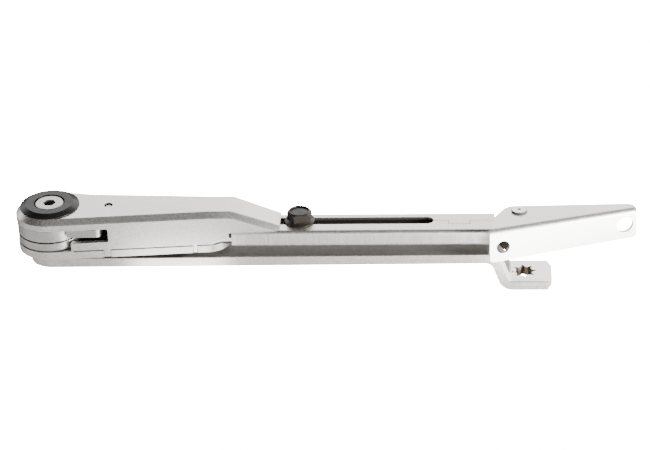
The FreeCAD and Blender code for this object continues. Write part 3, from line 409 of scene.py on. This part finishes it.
def smooth_tree():
    """Node group that shades smooth and keeps the edges over an angle sharp."""
    tree = bpy.data.node_groups.new("smooth_by_angle", "GeometryNodeTree")
    tree.interface.new_socket("Geometry", in_out="INPUT", socket_type="NodeSocketGeometry")
    angle = tree.interface.new_socket("Angle", in_out="INPUT", socket_type="NodeSocketFloat")
    angle.default_value = math.radians(SMOOTH_ANGLE)
    tree.interface.new_socket("Geometry", in_out="OUTPUT", socket_type="NodeSocketGeometry")
    start = tree.nodes.new("NodeGroupInput")
    end = tree.nodes.new("NodeGroupOutput")
    turn = tree.nodes.new("GeometryNodeInputMeshEdgeAngle")
    small = tree.nodes.new("FunctionNodeCompare")
    small.operation = "LESS_EQUAL"
    link(tree, turn.outputs["Unsigned Angle"], small.inputs["A"])
    link(tree, start.outputs["Angle"], small.inputs["B"])
    faces = tree.nodes.new("GeometryNodeSetShadeSmooth")
    faces.domain = "FACE"
    edges = tree.nodes.new("GeometryNodeSetShadeSmooth")
    edges.domain = "EDGE"
    link(tree, start.outputs["Geometry"], faces.inputs["Geometry"])
    link(tree, faces.outputs["Geometry"], edges.inputs["Geometry"])
    link(tree, small.outputs["Result"], edges.inputs["Shade Smooth"])
    link(tree, edges.outputs["Geometry"], end.inputs["Geometry"])
    return tree


def socket_names(tree):
    """Identifier of each named input of a node tree."""
    return {item.name: item.identifier for item in tree.interface.items_tree
            if item.in_out == "INPUT"}


def smooth_group():
    return bpy.data.node_groups.get("smooth_by_angle") or smooth_tree()


def dress_node(name, material, edge, angle=SMOOTH_ANGLE):
    """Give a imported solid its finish, rounded edges and smooth curved faces."""
    return dress(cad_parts[name], material, edge, angle)


def dress(thing, material, edge, angle=SMOOTH_ANGLE):
    """Finish and round a piece by modifiers alone; its mesh stays."""
    thing.data.materials.clear()
    thing.data.materials.append(material)
    weld = thing.modifiers.new("joined corners", "WELD")
    weld.merge_threshold = JOIN
    flat = thing.modifiers.new("flat faces", "DECIMATE")
    flat.decimate_type = "DISSOLVE"
    flat.angle_limit = math.radians(FLAT_ANGLE)
    if edge > 0:
        rounding = thing.modifiers.new("rounded edges", "BEVEL")
        rounding.width = edge
        rounding.segments = 2
        rounding.limit_method = "ANGLE"
        rounding.angle_limit = math.radians(EDGE_ANGLE)
        rounding.use_clamp_overlap = True
        rounding.miter_outer = "MITER_ARC"
    smooth = thing.modifiers.new("smooth shading", "NODES")
    smooth.node_group = smooth_group()
    smooth[socket_names(smooth.node_group)["Angle"]] = math.radians(angle)
    normals = thing.modifiers.new("even normals", "WEIGHTED_NORMAL")
    normals.keep_sharp = True
    return thing


def copied(name, node, move):
    """A copy of a solid with its corners joined and its points moved by a rule."""
    form = bmesh.new()
    form.from_mesh(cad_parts[node].data)
    bmesh.ops.remove_doubles(form, verts=form.verts, dist=JOIN)
    for corner in form.verts:
        corner.co = move(corner.co)
    mesh = bpy.data.meshes.new(name)
    form.to_mesh(mesh)
    form.free()
    thing = bpy.data.objects.new(name, mesh)
    bpy.context.collection.objects.link(thing)
    return thing


def tighter_corner(place, corner=(-251 * MM, -18.2 * MM), old=7 * MM, new=3.6 * MM,
                   close=0.1 * MM):
    """Draw the slider's front right corner out from a wide arc to a tight one."""
    across, along = place.x - (corner[0] - old), (corner[1] + old) - place.y
    if across <= 0 or along <= 0 or abs(math.hypot(across, along) - old) > close:
        return place
    share = new / old
    return Vector((corner[0] - new + across * share, corner[1] + new - along * share, place.z))


def wider_corner(place, turn=math.radians(16.6), wider=2):
    """Draw the bracket's back left corner out and round it with a wider arc."""
    cheek, corner = Vector((-14.5 * MM, -3 * MM)), Vector((-2.9 * MM, 8 * MM))
    cheek_reach, corner_reach = 0.4 * MM, 2.6 * MM
    shift = Vector((-2.2 * MM, 0))
    local = Matrix.Rotation(-turn, 2) @ Vector((place.x - PIVOT[0], place.y - PIVOT[1]))
    if (local - corner).length < corner_reach:
        local = corner + shift + wider * (local - corner)
    elif (local - cheek).length < cheek_reach:
        local = local + shift
    else:
        return place
    x, y = Matrix.Rotation(turn, 2) @ local
    return Vector((x + PIVOT[0], y + PIVOT[1], place.z))


def plain_mesh(thing, name):
    """The evaluated result of a piece's node tree as a plain mesh object."""
    graph = bpy.context.evaluated_depsgraph_get()
    mesh = bpy.data.meshes.new_from_object(thing.evaluated_get(graph))
    thing.modifiers.clear()
    thing.data = mesh
    mesh.name = name
    return thing


def grown(name, tree, points, values, material):
    """A piece grown by a node tree from a few points, ended as a plain mesh."""
    mesh = bpy.data.meshes.new(name)
    mesh.from_pydata(points, [], [])
    thing = bpy.data.objects.new(name, mesh)
    bpy.context.collection.objects.link(thing)
    modifier = thing.modifiers.new("growth", "NODES")
    modifier.node_group = tree
    sockets = socket_names(tree)
    for key, value in values.items():
        modifier[sockets[key]] = value
    modifier[sockets["Material"]] = material
    thing.update_tag()
    bpy.context.view_layer.update()
    return plain_mesh(thing, name)


def tree_with(name, floats):
    """A node tree with geometry in and out, named sizes and a material."""
    tree = bpy.data.node_groups.new(name, "GeometryNodeTree")
    tree.interface.new_socket("Geometry", in_out="INPUT", socket_type="NodeSocketGeometry")
    for label, value in floats.items():
        kind = "NodeSocketInt" if isinstance(value, int) else "NodeSocketFloat"
        socket = tree.interface.new_socket(label, in_out="INPUT", socket_type=kind)
        socket.default_value = value
    tree.interface.new_socket("Material", in_out="INPUT", socket_type="NodeSocketMaterial")
    tree.interface.new_socket("Geometry", in_out="OUTPUT", socket_type="NodeSocketGeometry")
    return tree, tree.nodes.new("NodeGroupInput"), tree.nodes.new("NodeGroupOutput")


def end_tree(tree, start, end, geometry):
    """Realize the copies and give them the piece's material."""
    smooth = tree.nodes.new("GeometryNodeGroup")
    smooth.node_tree = smooth_group()
    realize = tree.nodes.new("GeometryNodeRealizeInstances")
    paint = tree.nodes.new("GeometryNodeSetMaterial")
    link(tree, geometry, realize.inputs["Geometry"])
    link(tree, realize.outputs["Geometry"], smooth.inputs["Geometry"])
    link(tree, smooth.outputs["Geometry"], paint.inputs["Geometry"])
    link(tree, start.outputs["Material"], paint.inputs["Material"])
    link(tree, paint.outputs["Geometry"], end.inputs["Geometry"])


def spring_tree(values, wire_sides=10):
    """Spiral springs laid along x from each point and swept by a round wire."""
    tree, start, end = tree_with("coil_springs", values)
    spiral = tree.nodes.new("GeometryNodeCurveSpiral")
    for label, name in (("Steps", "Resolution"), ("Turns", "Rotations"), ("Length", "Height"),
                        ("Coil radius", "Start Radius"), ("Coil radius", "End Radius")):
        link(tree, start.outputs[label], spiral.inputs[name])
    wire = tree.nodes.new("GeometryNodeCurvePrimitiveCircle")
    wire.inputs["Resolution"].default_value = wire_sides
    link(tree, start.outputs["Wire radius"], wire.inputs["Radius"])
    sweep = tree.nodes.new("GeometryNodeCurveToMesh")
    sweep.inputs["Fill Caps"].default_value = True
    link(tree, spiral.outputs["Curve"], sweep.inputs["Curve"])
    link(tree, wire.outputs["Curve"], sweep.inputs["Profile Curve"])
    copies = tree.nodes.new("GeometryNodeInstanceOnPoints")
    copies.inputs["Rotation"].default_value = (0, math.pi / 2, 0)
    link(tree, start.outputs["Geometry"], copies.inputs["Points"])
    link(tree, sweep.outputs["Mesh"], copies.inputs["Instance"])
    end_tree(tree, start, end, copies.outputs["Instances"])
    return tree


def cone(tree, base, top, depth, height, sides=32):
    """Closed cone between two radii, lifted to a height."""
    form = tree.nodes.new("GeometryNodeMeshCone")
    form.inputs["Vertices"].default_value = sides
    for name, value in (("Radius Bottom", base), ("Radius Top", top), ("Depth", depth)):
        feed(tree, value, form.inputs[name])
    lift = tree.nodes.new("ShaderNodeCombineXYZ")
    feed(tree, height, lift.inputs["Z"])
    move = tree.nodes.new("GeometryNodeTransform")
    link(tree, form.outputs["Mesh"], move.inputs["Geometry"])
    link(tree, lift.outputs["Vector"], move.inputs["Translation"])
    return move.outputs["Geometry"]


def fastener_tree(name, values, hollow, past=0.1 * MM):
    """Headed fasteners with their faces at the points, and a hexagon socket if hollow.

    The cut for the socket starts a little past the face, so that it opens cleanly.
    """
    tree, start, end = tree_with(name, values)
    face, head, edge, neck, deep, shank, long, socket = (start.outputs[label] for label in values)
    union = tree.nodes.new("GeometryNodeMeshBoolean")
    union.operation = "UNION"
    for part in (cone(tree, face, head, edge, 0.0),
                 cone(tree, head, neck, maths(tree, "SUBTRACT", deep, edge), edge),
                 cone(tree, shank, shank, long, deep)):
        link(tree, part, union.inputs["Mesh 2"])
    solid = union.outputs["Mesh"]
    if hollow:
        cut = tree.nodes.new("GeometryNodeMeshBoolean")
        cut.operation = "DIFFERENCE"
        link(tree, solid, cut.inputs["Mesh 1"])
        link(tree, cone(tree, socket, socket, deep, -past, sides=6), cut.inputs["Mesh 2"])
        solid = cut.outputs["Mesh"]
    copies = tree.nodes.new("GeometryNodeInstanceOnPoints")
    link(tree, start.outputs["Geometry"], copies.inputs["Points"])
    link(tree, solid, copies.inputs["Instance"])
    end_tree(tree, start, end, copies.outputs["Instances"])
    return tree


def turned(name, section, centre, material, steps=48):
    """Turned piece: a closed section of (radius, height) spun round an upright axis."""
    form = bmesh.new()
    corners = [form.verts.new((centre[0] + radius, centre[1], height))
               for radius, height in section]
    edges = [form.edges.new(pair) for pair in zip(corners, corners[1:] + corners[:1])]
    bmesh.ops.spin(form, geom=corners + edges, cent=(*centre, 0), axis=(0, 0, 1),
                   angle=2 * math.pi, steps=steps)
    bmesh.ops.remove_doubles(form, verts=form.verts, dist=0.001 * MM)
    bmesh.ops.recalc_face_normals(form, faces=form.faces)
    mesh = bpy.data.meshes.new(name)
    form.to_mesh(mesh)
    form.free()
    mesh.materials.append(material)
    thing = bpy.data.objects.new(name, mesh)
    bpy.context.collection.objects.link(thing)
    smooth = thing.modifiers.new("smooth shading", "NODES")
    smooth.node_group = smooth_group()
    return thing


# Operators, one for each piece or group of like pieces

class ARM_OT_main_arm(bpy.types.Operator):
    """Dress the cranked flat bar with its silver coat"""
    bl_idname = "arm.main_arm"
    bl_label = "Main arm"

    def execute(self, context):
        colours, sizes = context.scene.arm_colours, context.scene.arm_sizes
        coat = silver_coat("bar_coat", colours.coat)
        tree = coat.node_tree
        # Painted highlight: the tab's top gets a paler, more metallic coat
        tab = times(tree, within(tree, TAB), level(tree))
        paint_shade_and_light(coat, tab, shade(colours.coat, 1.22), rough=0.36, metal=0.9)
        # Painted shade on the bar's top under the rail, darker still towards the left end
        strip = times(tree, within(tree, BAR_TOP), level(tree))
        paint_shade_and_light(coat, times(tree, strip, 0.85), colours.shadow)
        wedge = within(tree, BAR_WEDGE, soft=12 * MM)
        paint_shade_and_light(coat, times(tree, wedge, level(tree)), colours.painted_shade)
        # Painted shade in the spindle socket: brown on its walls, near-black in the grooves and
        # star tips
        walls = round_an_axis(tree, SOCKET, 6.8 * MM)
        grooves = maths(tree, "SUBTRACT", walls, round_an_axis(tree, SOCKET, 5.35 * MM, 0.2 * MM))
        paint_shade_and_light(coat, times(tree, walls, steep(tree)), colours.socket)
        paint_shade_and_light(coat, times(tree, grooves, steep(tree)), colours.painted_shade)
        paint_shade_and_light(coat, star_tips(tree), colours.painted_shade)
        # Painted highlight: a paler, less metallic coat on the crank's slope
        facing = tree.nodes.new("ShaderNodeNewGeometry").outputs["Normal"]
        slope = maths(tree, "GREATER_THAN", split(tree, facing)[0], 0.25)
        crank = times(tree, within(tree, CRANK, soft=1 * MM), slope)
        paint_shade_and_light(coat, crank, shade(colours.coat, 1.25), rough=0.4, metal=0.55)
        # Painted shade on the crank's slope behind the bracket
        back = times(tree, within(tree, CRANK_BACK, soft=1.5 * MM), slope)
        paint_shade_and_light(coat, times(tree, back, 0.93), colours.painted_shade)
        # Painted shade along the tab's front edge
        paint_shade_and_light(coat, times(tree, within(tree, TAB_LIP), 0.6), colours.shadow)
        dress_node("main_arm_bar", coat, sizes.sheet_round)
        return {"FINISHED"}


class ARM_OT_elbow_stack(bpy.types.Operator):
    """Dress the elbow's pin, discs, washers, bushes, ring and screw, and the slider"""
    bl_idname = "arm.elbow_stack"
    bl_label = "Elbow stack"

    def execute(self, context):
        colours, sizes = context.scene.arm_colours, context.scene.arm_sizes
        disc = polished_steel("disc_polish", colours.steel, 0.3, DISC_STREAK, 0.03 * MM)
        # Painted shade: the discs' level faces and the washers between them are near-black, for
        # the shaded gaps in the stack
        paint_shade_and_light(disc, level(disc.node_tree), colours.painted_shade)
        slider = polished_steel("slider_polish", colours.steel, 0.26, DISC_STREAK, 0.02 * MM)
        washer = dark_steel("washer_shade", colours.painted_shade, 0.5, 0.2)
        zinc = polished_steel("zinc_plate", colours.zinc, 0.36)
        screw = polished_steel("screw_zinc", shade(colours.zinc, 0.84), 0.4)
        tree = screw.node_tree
        # Painted shade in the screw's hexagon socket
        hexagon = times(tree, round_an_axis(tree, ELBOW, 3.95 * MM), within(tree, SCREW_SOCKET))
        paint_shade_and_light(screw, hexagon, shade(colours.hollow, 1.3))
        bronze = polished_steel("bush_bronze", colours.bush, 0.35)
        ring = dark_steel("ring_bronzing", colours.bronzed, 0.27, 0.22)
        piece = copied("slider_tight_corner", "detent_slider", tighter_corner)
        dress(piece, slider, sizes.turned_round)
        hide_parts("detent_slider")
        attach(piece, "detent")
        for name in ("index_disc", "cam_disc"):
            dress_node(name, disc, sizes.turned_round)
        for name in ("elbow_pin", "lower_spacer", "disc_spring"):
            dress_node(name, zinc, sizes.turned_round)
        for name in ("lower_disc_washer", "upper_disc_washer"):
            dress_node(name, washer, 0)
        dress_node("clamp_screw", screw, sizes.turned_round)
        for name in ("lower_bush", "upper_bush"):
            dress_node(name, bronze, 0)
        dress_node("clamp_ring", ring, sizes.turned_round, BEVEL_ANGLE)
        return {"FINISHED"}


class ARM_OT_housing(bpy.types.Operator):
    """Dress the cast elbow housing and the plate below it"""
    bl_idname = "arm.housing"
    bl_label = "Housing and plate"

    def execute(self, context):
        colours, sizes = context.scene.arm_colours, context.scene.arm_sizes
        cast = silver_coat("cast_coat", colours.coat)
        tree = cast.node_tree
        # Painted shade on the walls of the guide pin's bore
        bore = round_an_axis(tree, GUIDE_PIN, 2.75 * MM)
        paint_shade_and_light(cast, times(tree, bore, steep(tree)), colours.painted_shade)
        # Painted highlight: a paler coat on the lug's side face
        lug = times(tree, within(tree, LUG), steep(tree))
        paint_shade_and_light(cast, lug, shade(colours.coat, 1.27), rough=0.3, metal=0.93)
        # Painted shade on the level faces of the window's sill
        paint_shade_and_light(cast, times(tree, within(tree, WINDOW_SILL), level(tree)), colours.painted_shade)
        # Painted shade in lines along the lugs' sides
        for edge in LUG_EDGES:
            paint_shade_and_light(cast, times(tree, within(tree, edge), 0.6), colours.shadow)
        # Painted shade in the housing's notch
        paint_shade_and_light(cast, within(tree, HOUSING_NOTCH), colours.painted_shade)
        dress_node("elbow_housing", cast, sizes.cast_round)
        plate = silver_coat("plate_coat", shade(colours.coat, 1.05))
        # Painted shade along the plate's seam under the housing and in its notch
        for region in (PLATE_SEAM, PLATE_NOTCH):
            paint_shade_and_light(plate, within(plate.node_tree, region), colours.painted_shade)
        dress_node("lower_plate", plate, sizes.sheet_round)
        dress_node("guide_pin", bpy.data.materials["screw_zinc"], sizes.turned_round)
        dress_node("spring_block", bpy.data.materials["zinc_plate"], sizes.turned_round)
        return {"FINISHED"}


class ARM_OT_springs(bpy.types.Operator):
    """Wind the two detent springs"""
    bl_idname = "arm.springs"
    bl_label = "Detent springs"

    def execute(self, context):
        sizes = context.scene.arm_sizes
        low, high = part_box("detent_springs")
        values = {"Coil radius": sizes.coil_radius - sizes.wire_radius,
                  "Wire radius": sizes.wire_radius, "Turns": sizes.coil_turns,
                  "Length": high[0] - low[0] - 2 * sizes.wire_radius, "Steps": sizes.coil_steps}
        points = [(low[0] + sizes.wire_radius, side, (low[2] + high[2]) / 2)
                  for side in (low[1] + sizes.coil_radius, high[1] - sizes.coil_radius)]
        springs = grown("coil_springs", spring_tree(values), points, values,
                        bpy.data.materials["zinc_plate"])
        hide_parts("detent_springs")
        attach(springs, "detent")
        return {"FINISHED"}


class ARM_OT_rail(bpy.types.Operator):
    """Dress the folded rail"""
    bl_idname = "arm.rail"
    bl_label = "Rail"

    def execute(self, context):
        colours = context.scene.arm_colours
        coat = silver_coat("rail_coat", colours.coat, streak=RAIL_STREAK)
        tree = coat.node_tree
        # Painted shade on the walls of the rail's slot
        paint_shade_and_light(coat, times(tree, within(tree, RAIL_SLOT), steep(tree, LEVEL)), colours.hollow)
        # Painted shade on the rail's front next to the bracket
        corner = within(tree, RAIL_CORNER, soft=0.8 * MM)
        paint_shade_and_light(coat, times(tree, corner, 0.4), colours.shadow)
        # Browner on the rail's front near its right end
        brown_patch = within(tree, RAIL_BROWN_PATCH, soft=2 * MM)
        paint_shade_and_light(coat, times(tree, brown_patch, 0.45), colours.socket)
        dress_node("rail", coat, 0)
        return {"FINISHED"}


class ARM_OT_rivets(bpy.types.Operator):
    """Set the rivets that hold the rail to the plate's tongue"""
    bl_idname = "arm.rivets"
    bl_label = "Rail rivets"

    def execute(self, context):
        low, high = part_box("rail_rivets")
        head, deep = (high[1] - low[1]) / 2, 1.5 * MM
        values = {"Face radius": head - 1 * MM, "Head radius": head, "Edge": 0.9 * MM,
                  "Neck radius": head, "Head": deep, "Shank radius": 2.5 * MM,
                  "Length": high[2] - low[2] - deep, "Socket": 0.0}
        points = [(low[0] + head, 0, low[2]), (high[0] - head, 0, low[2])]
        rivets = grown("rivets", fastener_tree("rivet", values, False), points, values,
                       bpy.data.materials["zinc_plate"])
        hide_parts("rail_rivets")
        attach(rivets, "forearm")
        return {"FINISHED"}


class ARM_OT_push_rod(bpy.types.Operator):
    """Dress the push rod, its bush and the lock bolt, and add the collar below its eye"""
    bl_idname = "arm.push_rod"
    bl_label = "Push rod and lock bolt"

    def execute(self, context):
        colours, sizes = context.scene.arm_colours, context.scene.arm_sizes
        # The push rod is near-black, as painted shade for the rail's slot
        rod = dark_steel("rod_shade", colours.hollow, 0.6, 0.2)
        dress_node("push_rod", rod, sizes.sheet_round)
        dress_node("eye_bush", bpy.data.materials["bush_bronze"], 0)
        bolt = dark_steel("bolt_oxide", colours.oxide, 0.36, 0.33)
        dress_node("lock_bolt", bolt, sizes.turned_round)
        # A collar under the eye, near-black as painted shade, so that the bracket's hole reads
        # dark
        low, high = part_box("push_rod")
        wide, eye, bore = 12.2 * MM, 8.5 * MM, 6 * MM
        foot, shoulder, top = 24.9 * MM, low[2] - 0.3 * MM, low[2] + 1 * MM
        section = [(wide, foot), (wide, shoulder), (eye, top), (bore, top), (bore, foot)]
        sleeve = turned("eye_sleeve", section, (high[0] - eye, PIVOT[1]),
                        dark_steel("eye_shade", colours.painted_shade, 0.6, 0.2))
        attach(sleeve, "push_rod")
        return {"FINISHED"}


class ARM_OT_bracket(bpy.types.Operator):
    """Dress the frame bracket, its rivet and washer"""
    bl_idname = "arm.bracket"
    bl_label = "Bracket"

    def execute(self, context):
        colours, sizes = context.scene.arm_colours, context.scene.arm_sizes
        coat = silver_coat("bracket_coat", colours.bracket, 0.4)
        piece = copied("bracket_round_corner", "frame_bracket", wider_corner)
        dress(piece, coat, sizes.sheet_round)
        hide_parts("frame_bracket")
        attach(piece, "bracket")
        rivet = polished_steel("rivet_zinc", shade(colours.zinc, 1.25), 0.36)
        tree = rivet.node_tree
        # Painted shade on the rim of the pivot rivet's head
        rim = times(tree, within(tree, RIVET_HEAD), steep(tree, 0.9))
        paint_shade_and_light(rivet, rim, colours.hollow)
        dress_node("pivot_rivet", rivet, sizes.turned_round)
        dress_node("pivot_washer", bpy.data.materials["zinc_plate"], 0)
        return {"FINISHED"}


class ARM_OT_screws(bpy.types.Operator):
    """Set the three countersunk screws that hold the plate to the housing"""
    bl_idname = "arm.screws"
    bl_label = "Housing screws"

    def execute(self, context):
        low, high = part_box("housing_screws")
        face, neck, edge, deep = 3.5 * MM, 2 * MM, 0.2 * MM, 1.7 * MM
        values = {"Face radius": face - edge, "Head radius": face, "Edge": edge,
                  "Neck radius": neck, "Head": deep, "Shank radius": neck,
                  "Length": high[2] - low[2] - deep, "Socket": 1.6 * MM}
        points = [(low[0] + face, low[1] + face, low[2]), (low[0] + face, high[1] - face, low[2]),
                  (high[0] - face, 0, low[2])]
        screws = grown("plate_screws", fastener_tree("screw", values, True), points, values,
                       bpy.data.materials["bolt_oxide"])
        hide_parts("housing_screws")
        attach(screws, "forearm")
        return {"FINISHED"}


# Stage

def studio_world(studio, brightest=10.0):
    """Bright wall behind, dark ceiling, dimmer light in front and a wall at the right.

    The curve gives the light at each angle over the horizon, from behind (0 degrees) over the
    top to the front (180), as a share of the brightest that it can give.
    """
    world = bpy.data.worlds.new("studio")
    bpy.context.scene.world = world
    world.use_nodes = True
    tree = world.node_tree
    sky = tree.nodes["Background"]
    sky.inputs["Color"].default_value = (1, 1, 1, 1)
    place = tree.nodes.new("ShaderNodeTexCoord")
    x, y, z = split(tree, place.outputs["Generated"])
    share = spread(tree, maths(tree, "ARCTAN2", z, y), 0.0, math.pi, 0.0, 1.0)
    ramp = tree.nodes.new("ShaderNodeFloatCurve")
    curve = ramp.mapping.curves[0]
    for angle, light in ((0, studio.zenith), (9, studio.zenith), (20, studio.back_wall),
                         (39, studio.back_wall), (53, studio.zenith),
                         (110, studio.zenith), (140, studio.front_high),
                         (160, studio.front_wall), (180, studio.front_wall)):
        point = curve.points[0] if angle == 0 else curve.points[-1]
        if angle not in (0, 180):
            point = curve.points.new(angle / 180, light / brightest)
        point.location = (angle / 180, light / brightest)
    for point in curve.points:
        point.handle_type = "AUTO_CLAMPED"
    ramp.mapping.update()
    link(tree, share, ramp.inputs["Value"])
    strength = times(tree, spread(tree, ramp.outputs["Value"], 0.0, 1.0, 0.0, brightest),
                     spread(tree, x, -0.16, -0.04, 1.0, 1.3))
    right = times(tree, spread(tree, x, 0.25, 0.5, 0.0, studio.right_wall),
                  spread(tree, z, 0.3, 0.5, 1.0, 0.0))
    link(tree, plus(tree, strength, right), sky.inputs["Strength"])


def pale_floor(studio, size=6.0, drop=0.3 * MM):
    """Plain floor that glows white to the camera and with a softer painted light for the rest.

    The painted light grows from left to right, with a pool in front of the bracket and a
    glint for the discs, and is a painted shadow behind the arm but for the part beyond the crank.
    """
    mesh = bpy.data.meshes.new("floor")
    form = bmesh.new()
    bmesh.ops.create_grid(form, x_segments=1, y_segments=1, size=size,
                          matrix=Matrix.Translation((0, 0, -drop)))
    form.to_mesh(mesh)
    form.free()
    floor = bpy.data.objects.new("floor", mesh)
    bpy.context.collection.objects.link(floor)
    material, tree, shader = new_material("floor_white")
    shader.inputs["Base Color"].default_value = (0.5, 0.5, 0.5, 1)
    shader.inputs["Roughness"].default_value = 0.9
    shader.inputs["Emission Color"].default_value = (1, 1, 1, 1)
    x, y, _ = split(tree, object_place(tree))
    glow = spread(tree, x, -290 * MM, -20 * MM, studio.floor_left, studio.floor_right)
    pool = times(tree, spread(tree, x, -18 * MM, 8 * MM, 0.0, studio.pool),
                 spread(tree, y, -30 * MM, -46 * MM, 0.0, 1.0))
    glint = times(tree, near(tree, x, -236 * MM, -186 * MM, 6 * MM),
                  times(tree, near(tree, y, -66 * MM, -31 * MM, 4 * MM), studio.glint))
    behind = spread(tree, y, -20 * MM, 10 * MM, 0.0, 1.0)
    beyond = spread(tree, x, -25 * MM, 0.0, studio.floor_behind, studio.floor_crank)
    light = blend(tree, behind, plus(tree, plus(tree, glow, pool), glint), beyond)
    # The camera sees the floor's glow as white; all other rays get the painted light
    seen = tree.nodes.new("ShaderNodeLightPath").outputs["Is Camera Ray"]
    link(tree, blend(tree, seen, light, studio.floor_white), shader.inputs["Emission Strength"])
    mesh.materials.append(material)


def softbox(name, place, target, size, power):
    """Rectangular lamp that faces a target."""
    light = bpy.data.lights.new(name, "AREA")
    light.shape = "RECTANGLE"
    light.size, light.size_y = size
    light.energy = power
    lamp = bpy.data.objects.new(name, light)
    lamp.location = place
    lamp.rotation_euler = (Vector(target) - Vector(place)).to_track_quat("-Z", "Y").to_euler()
    bpy.context.collection.objects.link(lamp)


def photo_camera(studio):
    """Camera at the photograph's angle: 29.5 degrees down, 4 degrees to the right."""
    turn, fall, roll, away = math.radians(-4), math.radians(29.5), math.radians(-2.37), 1.3754
    forward = Vector((math.sin(turn) * math.cos(fall), math.cos(turn) * math.cos(fall),
                      -math.sin(fall)))
    side = Vector((math.cos(turn), -math.sin(turn), 0))
    rise = side.cross(forward)
    right = math.cos(roll) * side + math.sin(roll) * rise
    up = -math.sin(roll) * side + math.cos(roll) * rise
    aim = Vector((-0.11846, 0, 0.03821)) - 0.3 * MM * right + 0.4 * MM * up
    data = bpy.data.cameras.new("camera")
    data.lens = studio.lens
    data.sensor_width = 36
    data.clip_start = 0.05
    camera = bpy.data.objects.new("camera", data)
    bpy.context.collection.objects.link(camera)
    facing = Matrix((right, up, -forward)).transposed().to_4x4()
    camera.matrix_world = Matrix.Translation(aim - away * forward) @ facing
    bpy.context.scene.camera = camera


class ARM_OT_studio(bpy.types.Operator):
    """Set the pale floor, the soft light and the camera"""
    bl_idname = "arm.studio"
    bl_label = "Studio"

    def execute(self, context):
        studio = context.scene.arm_studio
        studio_world(studio)
        pale_floor(studio)
        softbox("key", place=(0.55, -0.36, 0.14), target=(0.02, 0, 0.03), size=(0.22, 0.22),
                power=studio.key)
        photo_camera(studio)
        return {"FINISHED"}


OPERATORS = (ARM_OT_main_arm, ARM_OT_elbow_stack, ARM_OT_housing, ARM_OT_springs, ARM_OT_rail,
             ARM_OT_rivets, ARM_OT_push_rod, ARM_OT_bracket, ARM_OT_screws, ARM_OT_studio)


class ARM_PT_panel(bpy.types.Panel):
    """Lists the arm's pieces, sizes and colours"""
    bl_idname = "ARM_PT_panel"
    bl_label = "Hold-open arm"
    bl_space_type = "VIEW_3D"
    bl_region_type = "UI"
    bl_category = "Arm"

    def draw(self, context):
        scene = context.scene
        for group in (scene.arm_colours, scene.arm_sizes, scene.arm_studio):
            box = self.layout.box()
            for name in group.__annotations__:
                box.prop(group, name)
        for operator in OPERATORS:
            self.layout.operator(operator.bl_idname)


CLASSES = (ArmColours, ArmSizes, ArmStudio) + OPERATORS + (ARM_PT_panel,)


def register():
    for item in CLASSES:
        bpy.utils.register_class(item)
    bpy.types.Scene.arm_colours = PointerProperty(type=ArmColours)
    bpy.types.Scene.arm_sizes = PointerProperty(type=ArmSizes)
    bpy.types.Scene.arm_studio = PointerProperty(type=ArmStudio)


def unregister():
    del bpy.types.Scene.arm_studio
    del bpy.types.Scene.arm_sizes
    del bpy.types.Scene.arm_colours
    for item in reversed(CLASSES):
        bpy.utils.unregister_class(item)


def main():
    register()
    for operator in OPERATORS:
        group, name = operator.bl_idname.split(".")
        getattr(getattr(bpy.ops, group), name)()


if __name__ == "__main__":
    main()
